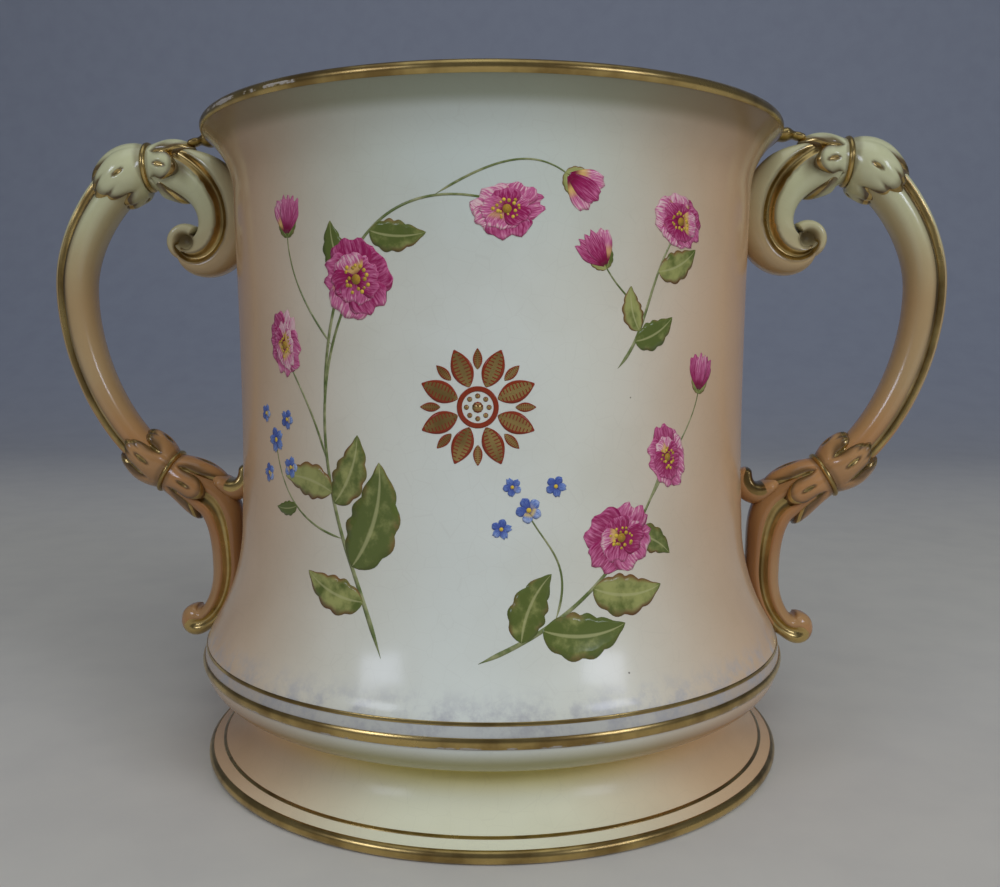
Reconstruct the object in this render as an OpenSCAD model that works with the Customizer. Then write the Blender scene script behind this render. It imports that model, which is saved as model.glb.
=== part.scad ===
// Two-handled porcelain loving cup on a spreading foot.
// Millimetres, Z up, origin at the centre of the standing face, handles along X.

/* [Cup] */
// Height from the table to the top of the lip
cup_h = 165; // [155:1:180]
// Diameter over the lip
rim_d = 152; // [147:0.5:158]
// Diameter of the wall where the lip starts to flare
shoulder_d = 136.6; // [134:0.1:139]
// Diameter of the wall at its narrowest
waist_d = 134.8; // [130:0.1:136]
// Height of the narrowest place
waist_z = 88; // [80:1:110]
// Diameter of the wall where it starts to spread to the flange
skirt_d = 136; // [133:0.1:138]
// Thickness of the lip
lip_t = 3; // [2:0.1:4]
// Radius of the flare under the lip
flare_r = 18.4; // [14:0.1:24]
// Thickness of the wall and the floor
wall_t = 4; // [3:0.1:5]

/* [Flange] */
// Diameter over the flange at the bottom of the wall
flange_d = 157.8; // [150:0.1:164]
// Height of the widest place of the flange
flange_z = 27; // [24:0.5:32]
// Radius of the concave spread above the flange
skirt_r = 55; // [45:1:70]
// Radius of the rounded upper side of the flange
crown_r = 14; // [10:0.5:18]
// Radius of the rounded underside of the flange
under_r = 9; // [7:0.5:11]

/* [Foot] */
// Diameter over the foot
foot_d = 156; // [146:1:164]
// Diameter of the neck between the body and the foot
neck_d = 132; // [126:1:136]
// Radius of the rounded edge of the foot
foot_edge_r = 1.6; // [1:0.1:2.5]
// Diameter of the hollow under the foot at the table
hollow_d = 136; // [128:1:142]
// Width of the flat ring on which the body is luted
seat_w = 8; // [5:0.5:10]
// Height of the register turned under the body
register_h = 2; // [1:0.5:4]
// Clearance between the register and the foot, on the radius
register_gap = 0.1; // [0.05:0.05:0.3]

/* [Gilding] */
// Thickness of the fired gilding
gilt_t = 0.1; // [0.05:0.01:0.12]
// Height of the gilt band round the flange
flange_band_w = 2.3; // [1.5:0.1:3.5]
// Width of the thin gilt lines
gilt_line_w = 0.85; // [0.5:0.05:1.5]
// Height of the thin line above the widest place of the flange
flange_line_up = 4; // [3:0.1:6]
// Height of the thin line on the foot
foot_line_z = 4.4; // [3.5:0.1:8]

/* [Handle bow] */
// Width over both handles
handle_span = 244; // [230:1:260]
// Height of the widest place of the handles
bow_mid_z = 124; // [112:1:132]
// Width of the bow from its inner face to the crest of its rib
bow_w = 10.8; // [9.5:0.1:13]
// Thickness of the bow from front to back
bow_depth = 11.4; // [9:0.1:13]
// Height of the rib along the outside of the bow
rib_h = 3; // [2:0.1:4]
// Width of the rib
rib_w = 5; // [4:0.1:6]
// Share by which the bow thins from its upper to its lower end
bow_taper = 0.2; // [0:0.01:0.3]

/* [Leaf knops] */
// Distance of the upper ring from the lip
upper_ring_out = 19; // [16:0.1:24]
// Depth of the upper ring below the lip
upper_ring_drop = 7.5; // [5:0.1:12]
// Downward slope of the handle at the upper ring, in degrees
upper_ring_slope = 3.4; // [0:0.1:10]
// Radius of the upper ring
upper_ring_r = 6; // [5:0.1:7]
// Distance of the lower ring from the waist of the cup
lower_ring_out = 24.4; // [21:0.1:28]
// Height of the lower ring
lower_ring_z = 73.6; // [68:0.1:84]
// Upward slope of the handle at the lower ring, in degrees
lower_ring_slope = 30.6; // [20:0.1:40]
// Radius of the lower ring
lower_ring_r = 5.9; // [5:0.1:7]
// Thickness of the rings
ring_t = 1.2; // [0.8:0.1:2]
// How far the upper outer knop swells beyond its ring
upper_swell = 1.4; // [0.5:0.1:3]
// How far the other knops swell beyond their rings
knop_swell = 0.9; // [0.2:0.1:2]
// Number of leaves round each knop
leaves = 4; // [4:1:6]
// Relief of the leaves
leaf_relief = 0.35; // [0.1:0.05:0.8]

/* [Upper scroll] */
// Distance of the centre of the volute from the lip
volute_out = 8.4; // [7:0.1:10]
// Depth of the centre of the volute below the lip
volute_drop = 28; // [26:0.5:32]
// Outer radius of the volute
volute_r = 5.2; // [4.5:0.1:6]
// Radius of the eye in the volute
eye_r = 1.8; // [1.2:0.1:2.4]
// Outer radius of the scroll where it leaves the knop
scroll_outer_r = 28.5; // [27:0.1:30]
// Inner radius of the scroll where it leaves the knop
scroll_inner_r = 13.5; // [12:0.1:15]
// Thickness of the scroll from front to back
scroll_depth = 12; // [9:0.5:14]

/* [Lower scroll] */
// Distance of the upper end of the lower scroll from the waist of the cup
leg_top_out = 11.8; // [10.5:0.1:13]
// Height of the upper end of the lower scroll
leg_top_z = 66.8; // [64:0.5:74]
// Height at which the leg runs straight down the wall
leg_waist_z = 47; // [44:0.5:52]
// Thickness of the leg at its upper end
leg_top_t = 9; // [8:0.1:10]
// Thickness of the leg at its waist
leg_waist_t = 9; // [7:0.1:10]
// Thickness of the leg just above its curl
leg_low_t = 6.6; // [5:0.1:8]
// Radius of the curl at the bottom of the leg
curl_r = 4.5; // [3.5:0.1:5.5]
// Thickness of the leg from front to back
leg_depth = 11; // [8:0.5:13]
// Thickness of the small hook above the leg
hook_t = 4; // [3:0.1:4.2]
// Height of the tip of the hook
hook_tip_z = 75.6; // [74:0.1:80]

/* [Rim lug] */
// Thickness of the lug at the lip
lug_t = 3.6; // [2.5:0.1:4]
// Thickness of the lug from front to back
lug_depth = 7; // [5:0.5:9]

/* [Hidden] */
// Points round a swept section and round a small one
section_n = 16;
small_n = 12;
// Rings along each swept piece
bow_rings = 26;
knop_rings = 8;
leg_rings = 22;
hook_rings = 10;
lug_rings = 8;
// Steps along an arc of the cup
arc_n = 10;
// Shape of a swept section: 1 is an ellipse, less is squarer
bow_square = 0.9;
scroll_square = 0.8;
// Gap that the luting slip fills between a handle and the cup
lute_gap = 0.15;
// Gap that the luting slip fills between two pieces of one handle
slip_gap = 0.05;
$fn = 96;

ivory = "#ece3c6";
blush = "#d9b48c";
pale = "#d8d6ae";
gilt = "#a9843a";

// Arc centres of the outside of the cup. Each arc is tangent to the next one.
lip_r = lip_t / 2;
lip_x = rim_d / 2 - lip_r;
lip_z = cup_h - lip_r;
flare_x = shoulder_d / 2 + flare_r;
flare_z = lip_z - sqrt(pow(flare_r + lip_r, 2) - pow(flare_x - lip_x, 2));
lip_a = atan2(lip_z - flare_z, flare_x - lip_x);
crown_x = flange_d / 2 - crown_r;
under_x = flange_d / 2 - under_r;
skirt_x = skirt_d / 2 + skirt_r;
skirt_z = flange_z + sqrt(pow(skirt_r + crown_r, 2) - pow(skirt_x - crown_x, 2));
ogee_a = atan2(skirt_z - flange_z, skirt_x - crown_x);
ogee_z = flange_z + crown_r * sin(ogee_a);

// The foot's seat is level with the underside of the flange.
foot_h = flange_z - under_r;
foot_edge_x = foot_d / 2 - foot_edge_r;
cove_span = foot_edge_x - neck_d / 2;
cove_drop = foot_h - foot_edge_r;
cove_r = (pow(cove_span, 2) + pow(cove_drop, 2) - pow(foot_edge_r, 2)) / (2 * (cove_span + foot_edge_r));
cove_x = neck_d / 2 + cove_r;
cove_a = atan2(cove_drop, cove_x - foot_edge_x);
seat_r = neck_d / 2 - seat_w;
// Height by which the straight steps of the cove stand out of its arc
cove_step = cove_r * (1 - cos(cove_a / arc_n / 2));
// How far the gilt band turns under the edge of the foot, in degrees
band_under_a = 45;

// Points of an arc about (x, z)
function arc(x, z, r, from, to, n = arc_n) =
    [for (i = [0:n]) let (a = from + (to - from) * i / n) [x + r * cos(a), z + r * sin(a)]];

// A list in the opposite order
function reversed(list) = [for (i = [len(list) - 1:-1:0]) list[i]];

// Radius of the wall between the skirt and the flare, narrowest at the waist
function wall_r(z) =
    let (edge = z > waist_z ? [shoulder_d, flare_z] : [skirt_d, skirt_z])
    waist_d / 2 + (edge[0] - waist_d) / 2 * pow((z - waist_z) / (edge[1] - waist_z), 2);

// Outside radius of the cup at a height
function outer_r(z) =
    z > lip_z - lip_r * sin(lip_a) ? lip_x + sqrt(max(0, lip_r * lip_r - pow(z - lip_z, 2)))
    : z > flare_z ? flare_x - sqrt(flare_r * flare_r - pow(z - flare_z, 2))
    : z > skirt_z ? wall_r(z)
    : z > ogee_z ? skirt_x - sqrt(skirt_r * skirt_r - pow(skirt_z - z, 2))
    : z > flange_z ? crown_x + sqrt(crown_r * crown_r - pow(z - flange_z, 2))
    : under_x + sqrt(max(0, under_r * under_r - pow(z - flange_z, 2)));

// Heights up the straight part of the wall
wall_steps = [for (i = [1:arc_n - 1]) skirt_z + (flare_z - skirt_z) * i / arc_n];

// Wall thickness, which falls from the body to the lip
function wall_at(z) = wall_t + (lip_t - wall_t) * (z - skirt_z) / (flare_z - skirt_z);

// Cup body: hollow, with a flared lip, a flange and a register under the floor
module cup_body() {
    outside = concat(
        arc(under_x, flange_z, under_r, -90, 0),
        arc(crown_x, flange_z, crown_r, 0, ogee_a),
        arc(skirt_x, skirt_z, skirt_r, 180 + ogee_a, 180),
        [for (z = wall_steps) [wall_r(z), z]],
        arc(flare_x, flare_z, flare_r, 180, 180 - lip_a),
        arc(lip_x, lip_z, lip_r, -lip_a, 180 - lip_a)
    );
    inside = concat(
        arc(flare_x, flare_z, flare_r + lip_t, 180 - lip_a, 180),
        [for (z = reversed(wall_steps)) [wall_r(z) - wall_at(z), z]],
        arc(skirt_x, skirt_z, skirt_r + wall_t, 180, 180 + ogee_a),
        arc(crown_x, flange_z, crown_r - wall_t, ogee_a, 0),
        arc(under_x, flange_z, under_r - wall_t, 0, -90)
    );
    register_r = seat_r - register_gap;
    floor_z = foot_h + wall_t;
    bottom = [
        [0, floor_z],
        [0, foot_h - register_h],
        [register_r, foot_h - register_h],
        [register_r, foot_h]
    ];
    color(ivory)
        rotate_extrude()
            polygon(concat(outside, inside, bottom));
}

// Spreading foot: a turned ring, hollow below, luted under the flange
module foot() {
    cove = arc(cove_x, foot_h, cove_r, 180, 180 + cove_a);
    edge = arc(foot_edge_x, foot_edge_r, foot_edge_r, cove_a, -90);
    hollow = [[hollow_d / 2, 0], [seat_r, foot_h - register_h - wall_t], [seat_r, foot_h]];
    color(blush)
        rotate_extrude()
            polygon(concat(cove, edge, hollow));
}

// Thin gilt shell over an arc of the cup. A negative thickness lies on a hollow arc.
module gilt_shell(x, z, r, from, to, t = gilt_t) {
    color(gilt)
        rotate_extrude()
            polygon(concat(arc(x, z, r, from, to), arc(x, z, r + t, to, from)));
}

module rim_gilding() {
    gilt_shell(lip_x, lip_z, lip_r, -lip_a / 2, 180 - lip_a);
}

module flange_gilt_line() {
    a = asin(flange_line_up / crown_r);
    half = gilt_line_w / 2 / crown_r * 180 / PI;
    gilt_shell(crown_x, flange_z, crown_r, a - half, a + half);
}

module flange_gilt_band() {
    over = flange_band_w / 2 / crown_r * 180 / PI;
    under = flange_band_w / 2 / under_r * 180 / PI;
    color(gilt)
        rotate_extrude()
            polygon(concat(
                arc(under_x, flange_z, under_r, -under, 0),
                arc(crown_x, flange_z, crown_r, 0, over),
                arc(crown_x, flange_z, crown_r + gilt_t, over, 0),
                arc(under_x, flange_z, under_r + gilt_t, 0, -under)
            ));
}

module foot_gilt_line() {
    a = 180 + asin((foot_h - foot_line_z) / cove_r);
    half = gilt_line_w / 2 / cove_r * 180 / PI;
    gilt_shell(cove_x, foot_h, cove_r - cove_step, a - half, a + half, -gilt_t);
}

module foot_gilt_band() {
    gilt_shell(foot_edge_x, foot_edge_r, foot_edge_r, -band_under_a, cove_a);
}

// Handle geometry: everything below is drawn for the right handle, in the XZ plane.

// Unit vector at an angle
function dir(a) = [cos(a), sin(a)];

// Point of a cubic curve, and the angle at which the curve runs there
function curve(p, t) =
    pow(1 - t, 3) * p[0] + 3 * pow(1 - t, 2) * t * p[1] + 3 * (1 - t) * t * t * p[2] + pow(t, 3) * p[3];
function curve_angle(p, t) =
    let (v = (1 - t) * (1 - t) * (p[1] - p[0]) + 2 * (1 - t) * t * (p[2] - p[1]) + t * t * (p[3] - p[2]))
    atan2(v[1], v[0]);

// Value between two others
function mix(a, b, t) = a + (b - a) * t;

// Rounded section in the plane across the angle a at point p.
// It reaches from low to high along the normal and depth to each side.
function section(p, a, low, high, depth, square = scroll_square, n = section_n) =
    [for (i = [0:n - 1])
        let (
            q = 360 * i / n,
            c = sign(cos(q)) * pow(abs(cos(q)), square),
            s = sign(sin(q)) * pow(abs(sin(q)), square),
            v = p + dir(a + 90) * ((low + high) / 2 + (high - low) / 2 * c)
        )
        [v[0], depth * s, v[1]]];

// Keeps a section outside the cup, with room for the luting slip
function on_wall(ring) = [for (v = ring) [max(v[0], outer_r(v[2]) + lute_gap), v[1], v[2]]];

// Solid through rings of equal length
module loft(rings) {
    n = len(rings[0]);
    last = (len(rings) - 1) * n;
    sides = [for (i = [0:n:last - n], j = [0:n - 1])
        let (a = i + j, b = i + (j + 1) % n)
        each [[a, b, b + n], [a, b + n, a + n]]];
    ends = [[for (j = [n - 1:-1:0]) j], [for (j = [0:n - 1]) last + j]];
    polyhedron([for (ring = rings) each ring], concat(sides, ends));
}

// Draws the right handle's piece, or its mirror image on the left
module on_side(side) {
    mirror([side < 0 ? 1 : 0, 0, 0])
        children();
}

// Spine of the bow, from the upper ring (0) past the widest place (1) to the lower ring (2)
upper_ring = [rim_d / 2 + upper_ring_out, cup_h - upper_ring_drop];
lower_ring = [waist_d / 2 + lower_ring_out, lower_ring_z];
bow_mid = [handle_span / 2 - bow_w / 2, bow_mid_z];
upper_fullness = 0.22;
upper_sweep = 0.5;
lower_sweep = 0.44;
lower_fullness = 0.3;
upper_rise = upper_ring[1] - bow_mid_z;
lower_fall = bow_mid_z - lower_ring[1];
upper_bow = [
    upper_ring,
    upper_ring + upper_fullness * upper_rise * dir(-upper_ring_slope),
    bow_mid + [0, upper_sweep * upper_rise],
    bow_mid
];
lower_bow = [
    bow_mid,
    bow_mid - [0, lower_sweep * lower_fall],
    lower_ring + lower_fullness * lower_fall * dir(lower_ring_slope),
    lower_ring
];
function spine(u) = u < 1 ? curve(upper_bow, u) : curve(lower_bow, u - 1);
function spine_angle(u) = u < 1 ? curve_angle(upper_bow, u) : curve_angle(lower_bow, u - 1);

// Where the bow leaves the upper knop and enters the lower one
bow_start = 0.37;
bow_end = 1.78;
function bow_size(u) = 1 + bow_taper * (0.5 - (u - bow_start) / (bow_end - bow_start));
function bow_us() = [for (i = [0:bow_rings]) mix(bow_start, bow_end, i / bow_rings)];
rib_seat = bow_w / 2 - rib_h;

module bow(side) {
    color(blush)
        on_side(side)
            loft([for (u = bow_us())
                section(spine(u), spine_angle(u), -bow_w / 2 * bow_size(u), rib_seat * bow_size(u),
                    bow_depth / 2 * bow_size(u), bow_square)]);
}

module bow_rib(side) {
    color(pale)
        on_side(side)
            loft([for (u = bow_us())
                section(spine(u), spine_angle(u), rib_seat * bow_size(u) + slip_gap,
                    bow_w / 2 * bow_size(u), rib_w / 2 * bow_size(u), scroll_square, small_n)]);
}

// Swelling section of a knop, with its leaves standing out from it
function knop_section(p, a, r, n = 4 * leaves) =
    [for (i = [0:n - 1])
        let (
            q = 360 * i / n,
            w = r + leaf_relief * cos(leaves * q),
            v = p + dir(a + 90) * w * cos(q)
        )
        [v[0], w * sin(q), v[1]]];

// Knop along the bow's spine, from u0 to u1, with its radius at both ends
module spine_knop(side, u0, u1, r0, r1, swell) {
    on_side(side)
        loft([for (i = [0:knop_rings])
            let (t = i / knop_rings, u = mix(u0, u1, t))
            knop_section(spine(u), spine_angle(u), mix(r0, r1, t) + swell * sin(180 * t))]);
}

module upper_outer_knop(side) {
    color(pale)
        spine_knop(side, 0, bow_start, upper_ring_r, bow_w / 2 * bow_size(bow_start), upper_swell);
}

module lower_outer_knop(side) {
    color(blush)
        spine_knop(side, bow_end, 2, bow_w / 2 * bow_size(bow_end), lower_ring_r, knop_swell);
}

// Round bead between two knops, with its axis at the angle a
module ring(side, p, a, r) {
    color(gilt)
        on_side(side)
            translate([p[0], 0, p[1]])
                rotate([0, 90 - a, 0])
                    rotate_extrude() {
                        square([r, ring_t]);
                        translate([r, ring_t / 2])
                            circle(ring_t / 2);
                    }
}

// The handle side of each ring, where the inner knops start
upper_root = upper_ring - ring_t * dir(-upper_ring_slope);
lower_root = lower_ring - ring_t * dir(lower_ring_slope);

module upper_ring(side) {
    ring(side, upper_root, -upper_ring_slope, upper_ring_r);
}

module lower_ring(side) {
    ring(side, lower_root, lower_ring_slope, lower_ring_r);
}

// Knop between a ring and the end face of a scroll
module root_knop(side, p0, a0, r0, p1, a1, r1) {
    on_side(side)
        loft([for (i = [0:knop_rings])
            let (t = i / knop_rings)
            knop_section(mix(p0, p1, t), mix(a0, a1, t), mix(r0, r1, t) + knop_swell * sin(180 * t))]);
}

// Upper scroll: a spiral about the eye of the volute, which starts at the knop
volute = [rim_d / 2 + volute_out, cup_h - volute_drop];
scroll_start = 78;
scroll_end = 488;
scroll_steps = 36;
volute_start = 294;
// Turn in which the scroll's inner edge would reach the eye's centre
inner_turn = 90;
inner_fall = scroll_inner_r / inner_turn;
outer_fall = (scroll_outer_r - volute_r) / (volute_start - scroll_start);
function scroll_outer(f) = max(volute_r, scroll_outer_r - outer_fall * (f - scroll_start));
function scroll_inner(f) = max(eye_r, scroll_inner_r - inner_fall * (f - scroll_start));
scroll_root_r = (scroll_outer_r - scroll_inner_r) / 2;
scroll_root = volute + (scroll_outer_r + scroll_inner_r) / 2 * dir(scroll_start);

module upper_scroll(side) {
    color(pale)
        on_side(side)
            loft([for (i = [0:scroll_steps])
                let (f = mix(scroll_start, scroll_end, i / scroll_steps))
                on_wall(section(volute, f - 90, scroll_inner(f), scroll_outer(f), scroll_depth / 2))]);
}

module upper_inner_knop(side) {
    color(pale)
        root_knop(side, upper_root, 180 - upper_ring_slope, upper_ring_r,
            scroll_root, scroll_start + 90, scroll_root_r);
}

// Lower scroll: a leg down the wall that curls out over the flange
leg_angle = 215;
leg_root = [waist_d / 2 + leg_top_out, leg_top_z];
leg_root_r = (leg_top_t + hook_t + slip_gap) / 2;
leg_start = leg_root - (leg_root_r - leg_top_t / 2) * dir(leg_angle - 90);
hook_start = leg_root + (leg_root_r - hook_t / 2) * dir(leg_angle - 90);
leg_waist = [outer_r(leg_waist_z) + lute_gap + leg_waist_t / 2, leg_waist_z];
// Place of the curl's centre: its clearance from the flange and its height over it
curl_gap = 1.65;
curl_up = 3.5;
leg_tip = [flange_d / 2 + curl_r + curl_gap, flange_z + curl_up];
// How straight the leg falls, and how far it dips before its curl
leg_sweep = 0.6;
curl_dip = 0.8;
leg_upper = [
    leg_start,
    leg_start + (leg_top_z - leg_waist_z) / 4 * dir(leg_angle),
    leg_waist + [0, (leg_top_z - leg_waist_z) / 3],
    leg_waist
];
leg_lower = [
    leg_waist,
    leg_waist - [0, (leg_waist_z - leg_tip[1]) * leg_sweep],
    leg_tip - [curl_r, curl_dip],
    leg_tip
];
function leg_point(u) = u < 1 ? curve(leg_upper, u) : curve(leg_lower, u - 1);
function leg_turn(u) = u < 1 ? curve_angle(leg_upper, u) : curve_angle(leg_lower, u - 1);
curl_start = 1.75;
curl_tip = 2;
function leg_half(u) =
    u < 1 ? mix(leg_top_t, leg_waist_t, u) / 2
    : u < curl_start ? mix(leg_waist_t, leg_low_t, (u - 1) / (curl_start - 1)) / 2
    : mix(leg_low_t / 2, curl_r, (u - curl_start) / (curl_tip - curl_start));

// Steps of the curl's round end, as shares of its radius
cap_steps = [0.3, 0.6, 0.85, 0.97];
function cap_half(c) = curl_r * sqrt(1 - c * c);

module lower_scroll(side) {
    end_a = leg_turn(curl_tip);
    stem = [for (i = [0:leg_rings])
        let (u = mix(0, curl_tip, i / leg_rings), h = leg_half(u))
        section(leg_point(u), leg_turn(u), -h, h, leg_depth / 2)];
    cap = [for (c = cap_steps)
        let (h = cap_half(c), p = leg_tip + c * curl_r * dir(end_a))
        section(p, end_a, -h, h, leg_depth / 2 * h / curl_r)];
    color(blush)
        on_side(side)
            loft([for (ring = concat(stem, cap)) on_wall(ring)]);
}

// Hook: it runs on from the leg's upper end and turns up along the wall
hook_lead = 0.9;
hook_rise = 1.2;
hook_taper = 0.7;
hook_rest = 0.45;
// Share of its depth that a hook or a lug keeps at its tip
tip_share = 2 / 3;

module lower_hook(side) {
    hook_tip = [outer_r(hook_tip_z) + lute_gap + hook_t * hook_rest, hook_tip_z];
    path = [
        hook_start,
        hook_start + hook_lead * hook_t * dir(leg_angle),
        hook_tip - [0, hook_rise * hook_t],
        hook_tip
    ];
    rings = [for (i = [0:hook_rings])
        let (
            t = i / hook_rings,
            h = hook_t / 2 * mix(1, hook_taper, t),
            d = leg_depth / 2 * mix(1, tip_share, t)
        )
        section(curve(path, t), curve_angle(path, t), -h, h, d, scroll_square, small_n)];
    color(blush)
        on_side(side)
            loft([for (ring = rings) on_wall(ring)]);
}

module lower_inner_knop(side) {
    color(blush)
        root_knop(side, lower_root, 180 + lower_ring_slope, lower_ring_r, leg_root, leg_angle, leg_root_r);
}

// Gilded lug that bridges the lip and the shoulder of the upper scroll
lug_turn = 95;
lug_tip_t = 1;

module rim_lug(side) {
    rest = volute + (scroll_outer(lug_turn) + lug_tip_t / 2 + lute_gap) * dir(lug_turn);
    lip = [rim_d / 2 + gilt_t + lute_gap, cup_h];
    lug_a = atan2(rest[1] - lip[1], rest[0] - lip[0]);
    rings = [for (i = [0:lug_rings])
        let (
            t = i / lug_rings,
            h = mix(lug_t, lug_tip_t, t) / 2,
            d = lug_depth / 2 * mix(1, tip_share, t)
        )
        section(mix(lip, rest, t), lug_a, -h, h, d, bow_square, small_n)];
    color(gilt)
        on_side(side)
            loft(rings);
}

cup_body();
foot();
rim_gilding();
flange_gilt_line();
flange_gilt_band();
foot_gilt_line();
foot_gilt_band();
rim_lug(-1);  // left_rim_lug
upper_scroll(-1);  // left_upper_scroll
upper_inner_knop(-1);  // left_upper_inner_knop
upper_ring(-1);  // left_upper_ring
upper_outer_knop(-1);  // left_upper_outer_knop
bow(-1);  // left_bow
bow_rib(-1);  // left_bow_rib
lower_outer_knop(-1);  // left_lower_outer_knop
lower_ring(-1);  // left_lower_ring
lower_inner_knop(-1);  // left_lower_inner_knop
lower_scroll(-1);  // left_lower_scroll
lower_hook(-1);  // left_lower_hook
rim_lug(1);  // right_rim_lug
upper_scroll(1);  // right_upper_scroll
upper_inner_knop(1);  // right_upper_inner_knop
upper_ring(1);  // right_upper_ring
upper_outer_knop(1);  // right_upper_outer_knop
bow(1);  // right_bow
bow_rib(1);  // right_bow_rib
lower_outer_knop(1);  // right_lower_outer_knop
lower_ring(1);  // right_lower_ring
lower_inner_knop(1);  // right_lower_inner_knop
lower_scroll(1);  // right_lower_scroll
lower_hook(1);  // right_lower_hook
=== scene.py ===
# %% [markdown]
# # A porcelain loving cup
# This lesson dresses a packed cup: a turned body on a spreading foot, with two scrolled handles. The
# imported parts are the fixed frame. Each visible piece is modelled again here with finer forms, and rides
# on the frame's one body, because nothing on a fired cup moves.

# %% Load the frame
import math
import random

import bmesh
import bpy
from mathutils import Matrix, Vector


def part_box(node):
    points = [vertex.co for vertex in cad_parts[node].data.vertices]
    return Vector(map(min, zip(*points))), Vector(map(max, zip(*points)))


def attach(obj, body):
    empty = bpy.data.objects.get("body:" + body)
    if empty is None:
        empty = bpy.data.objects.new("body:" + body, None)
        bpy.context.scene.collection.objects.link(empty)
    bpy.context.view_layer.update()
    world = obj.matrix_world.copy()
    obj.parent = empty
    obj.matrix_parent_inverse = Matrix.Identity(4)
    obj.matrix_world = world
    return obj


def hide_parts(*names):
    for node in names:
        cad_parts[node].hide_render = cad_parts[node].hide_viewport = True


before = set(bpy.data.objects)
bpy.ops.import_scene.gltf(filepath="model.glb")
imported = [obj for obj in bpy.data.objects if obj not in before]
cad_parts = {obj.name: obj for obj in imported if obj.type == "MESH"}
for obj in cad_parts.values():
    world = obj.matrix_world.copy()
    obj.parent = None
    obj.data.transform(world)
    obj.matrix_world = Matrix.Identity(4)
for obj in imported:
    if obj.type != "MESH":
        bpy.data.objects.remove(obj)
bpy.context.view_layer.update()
MM = 0.001

# %% [markdown]
# ## Camera
# The picture was taken from a little above the middle of the cup, close by, so the perspective is strong
# and the lip and the foot curve clearly. A camera could be aimed by a constraint. Here it is placed by
# its own position, turn and pitch, because each of them can be measured and corrected alone.

# %% Camera
CAMERA_TURN = math.radians(2.8)
CAMERA_PITCH = math.radians(5.8)
CAMERA_AT = Vector((15.66, -277.2, 109.7)) * MM
LENS_MM, SENSOR_MM = 36, 36
NEAREST = 0.01

camera_data = bpy.data.cameras.new("camera")
camera_data.sensor_fit = "HORIZONTAL"
camera_data.sensor_width = SENSOR_MM
camera_data.lens = LENS_MM
camera_data.clip_start = NEAREST
camera = bpy.data.objects.new("camera", camera_data)
bpy.context.scene.collection.objects.link(camera)
camera.location = CAMERA_AT
sight = Vector((-math.sin(CAMERA_TURN) * math.cos(CAMERA_PITCH),
                math.cos(CAMERA_TURN) * math.cos(CAMERA_PITCH),
                -math.sin(CAMERA_PITCH)))
camera.rotation_euler = sight.to_track_quat("-Z", "Y").to_euler()
bpy.context.scene.camera = camera
bpy.context.scene.view_settings.view_transform = "Standard"
print("camera at", [round(v / MM, 1) for v in camera.location], "mm")

# %% [markdown]
# ## Light
# Two windows stand in front of the cup, one to each side. They leave two soft, bluish rectangles on the
# spread of the wall and glints on the gold. One large lamp would light the cup as well, but its
# reflection would cover the wall. So the windows are small and strong, and the broad lights, one in front
# and one from the right, are kept out of reflections. A weak ceiling light and a grey-blue room fill the
# shadows.

# %% Lights
DAYLIGHT = (0.90, 0.97, 1.0)
SKYLIGHT = (0.82, 0.88, 1.1)
CUP_MIDDLE = Vector((0, 0, 0.08))
ROOM_COLOUR, ROOM_STRENGTH = (0.62, 0.66, 0.74, 1), 0.14


def soft_light(name, azimuth, elevation, distance, width, height, watts, colour=DAYLIGHT, mirrored=True):
    """A soft rectangular light that faces the middle of the cup, in degrees and metres.
    One that isn't mirrored leaves no reflection."""
    data = bpy.data.lights.new(name, "AREA")
    data.shape = "RECTANGLE"
    data.size = width
    data.size_y = height
    data.energy = watts
    data.color = colour
    lamp = bpy.data.objects.new(name, data)
    bpy.context.scene.collection.objects.link(lamp)
    a, e = math.radians(azimuth), math.radians(elevation)
    way = Vector((math.sin(a) * math.cos(e), -math.cos(a) * math.cos(e), math.sin(e)))
    lamp.location = way * distance + CUP_MIDDLE
    lamp.rotation_euler = way.to_track_quat("Z", "Y").to_euler()
    lamp.visible_glossy = mirrored
    print("light", name, watts, "W")


soft_light("left_window", -42, 25.5, 1.5, 0.40, 0.28, 2.4, SKYLIGHT)
soft_light("right_window", 48.5, 25, 1.5, 0.42, 0.30, 2.7, SKYLIGHT)
soft_light("right_fill", 52, 30, 1.5, 0.5, 0.7, 2.2, mirrored=False)
soft_light("front_softbox", 12, 44, 1.6, 1.4, 0.9, 9.5, mirrored=False)
soft_light("ceiling", 0, 82, 1.6, 1.6, 1.2, 3.5)

world = bpy.data.worlds.new("room")
bpy.context.scene.world = world
world.use_nodes = True
world.node_tree.nodes["Background"].inputs["Color"].default_value = ROOM_COLOUR
world.node_tree.nodes["Background"].inputs["Strength"].default_value = ROOM_STRENGTH

# %% [markdown]
# ## Tools for shader nodes
# A finish is a small network of nodes. It could be wired link by link, but that takes a line for each
# link. These helpers keep a network to a few readable lines: they place a node, feed its sockets, do a
# sum, make a soft step between two values, mix two colours or two values, and read a value that the mesh
# carries.

# %% Shader helpers
# A Mix node's sockets go by number: its two inputs and its result, for colours and for values
MIX_COLOURS, MIXED_COLOUR = (6, 7), 2
MIX_VALUES, MIXED_VALUE = (2, 3), 0


def put(tree, kind, **values):
    """Places a node and sets its properties, or its inputs by name."""
    made = tree.nodes.new(kind)
    for key, value in values.items():
        if hasattr(made, key):
            setattr(made, key, value)
        else:
            feed(tree, value, made.inputs[key])
    return made


def feed(tree, value, socket):
    """Links a socket's value to another socket, or sets it."""
    if isinstance(value, bpy.types.NodeSocket):
        tree.links.new(value, socket)
    else:
        socket.default_value = value


def calc(tree, operation, a, b=0.0, clamp=False):
    made = put(tree, "ShaderNodeMath", operation=operation, use_clamp=clamp)
    feed(tree, a, made.inputs[0])
    feed(tree, b, made.inputs[1])
    return made.outputs[0]


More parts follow.
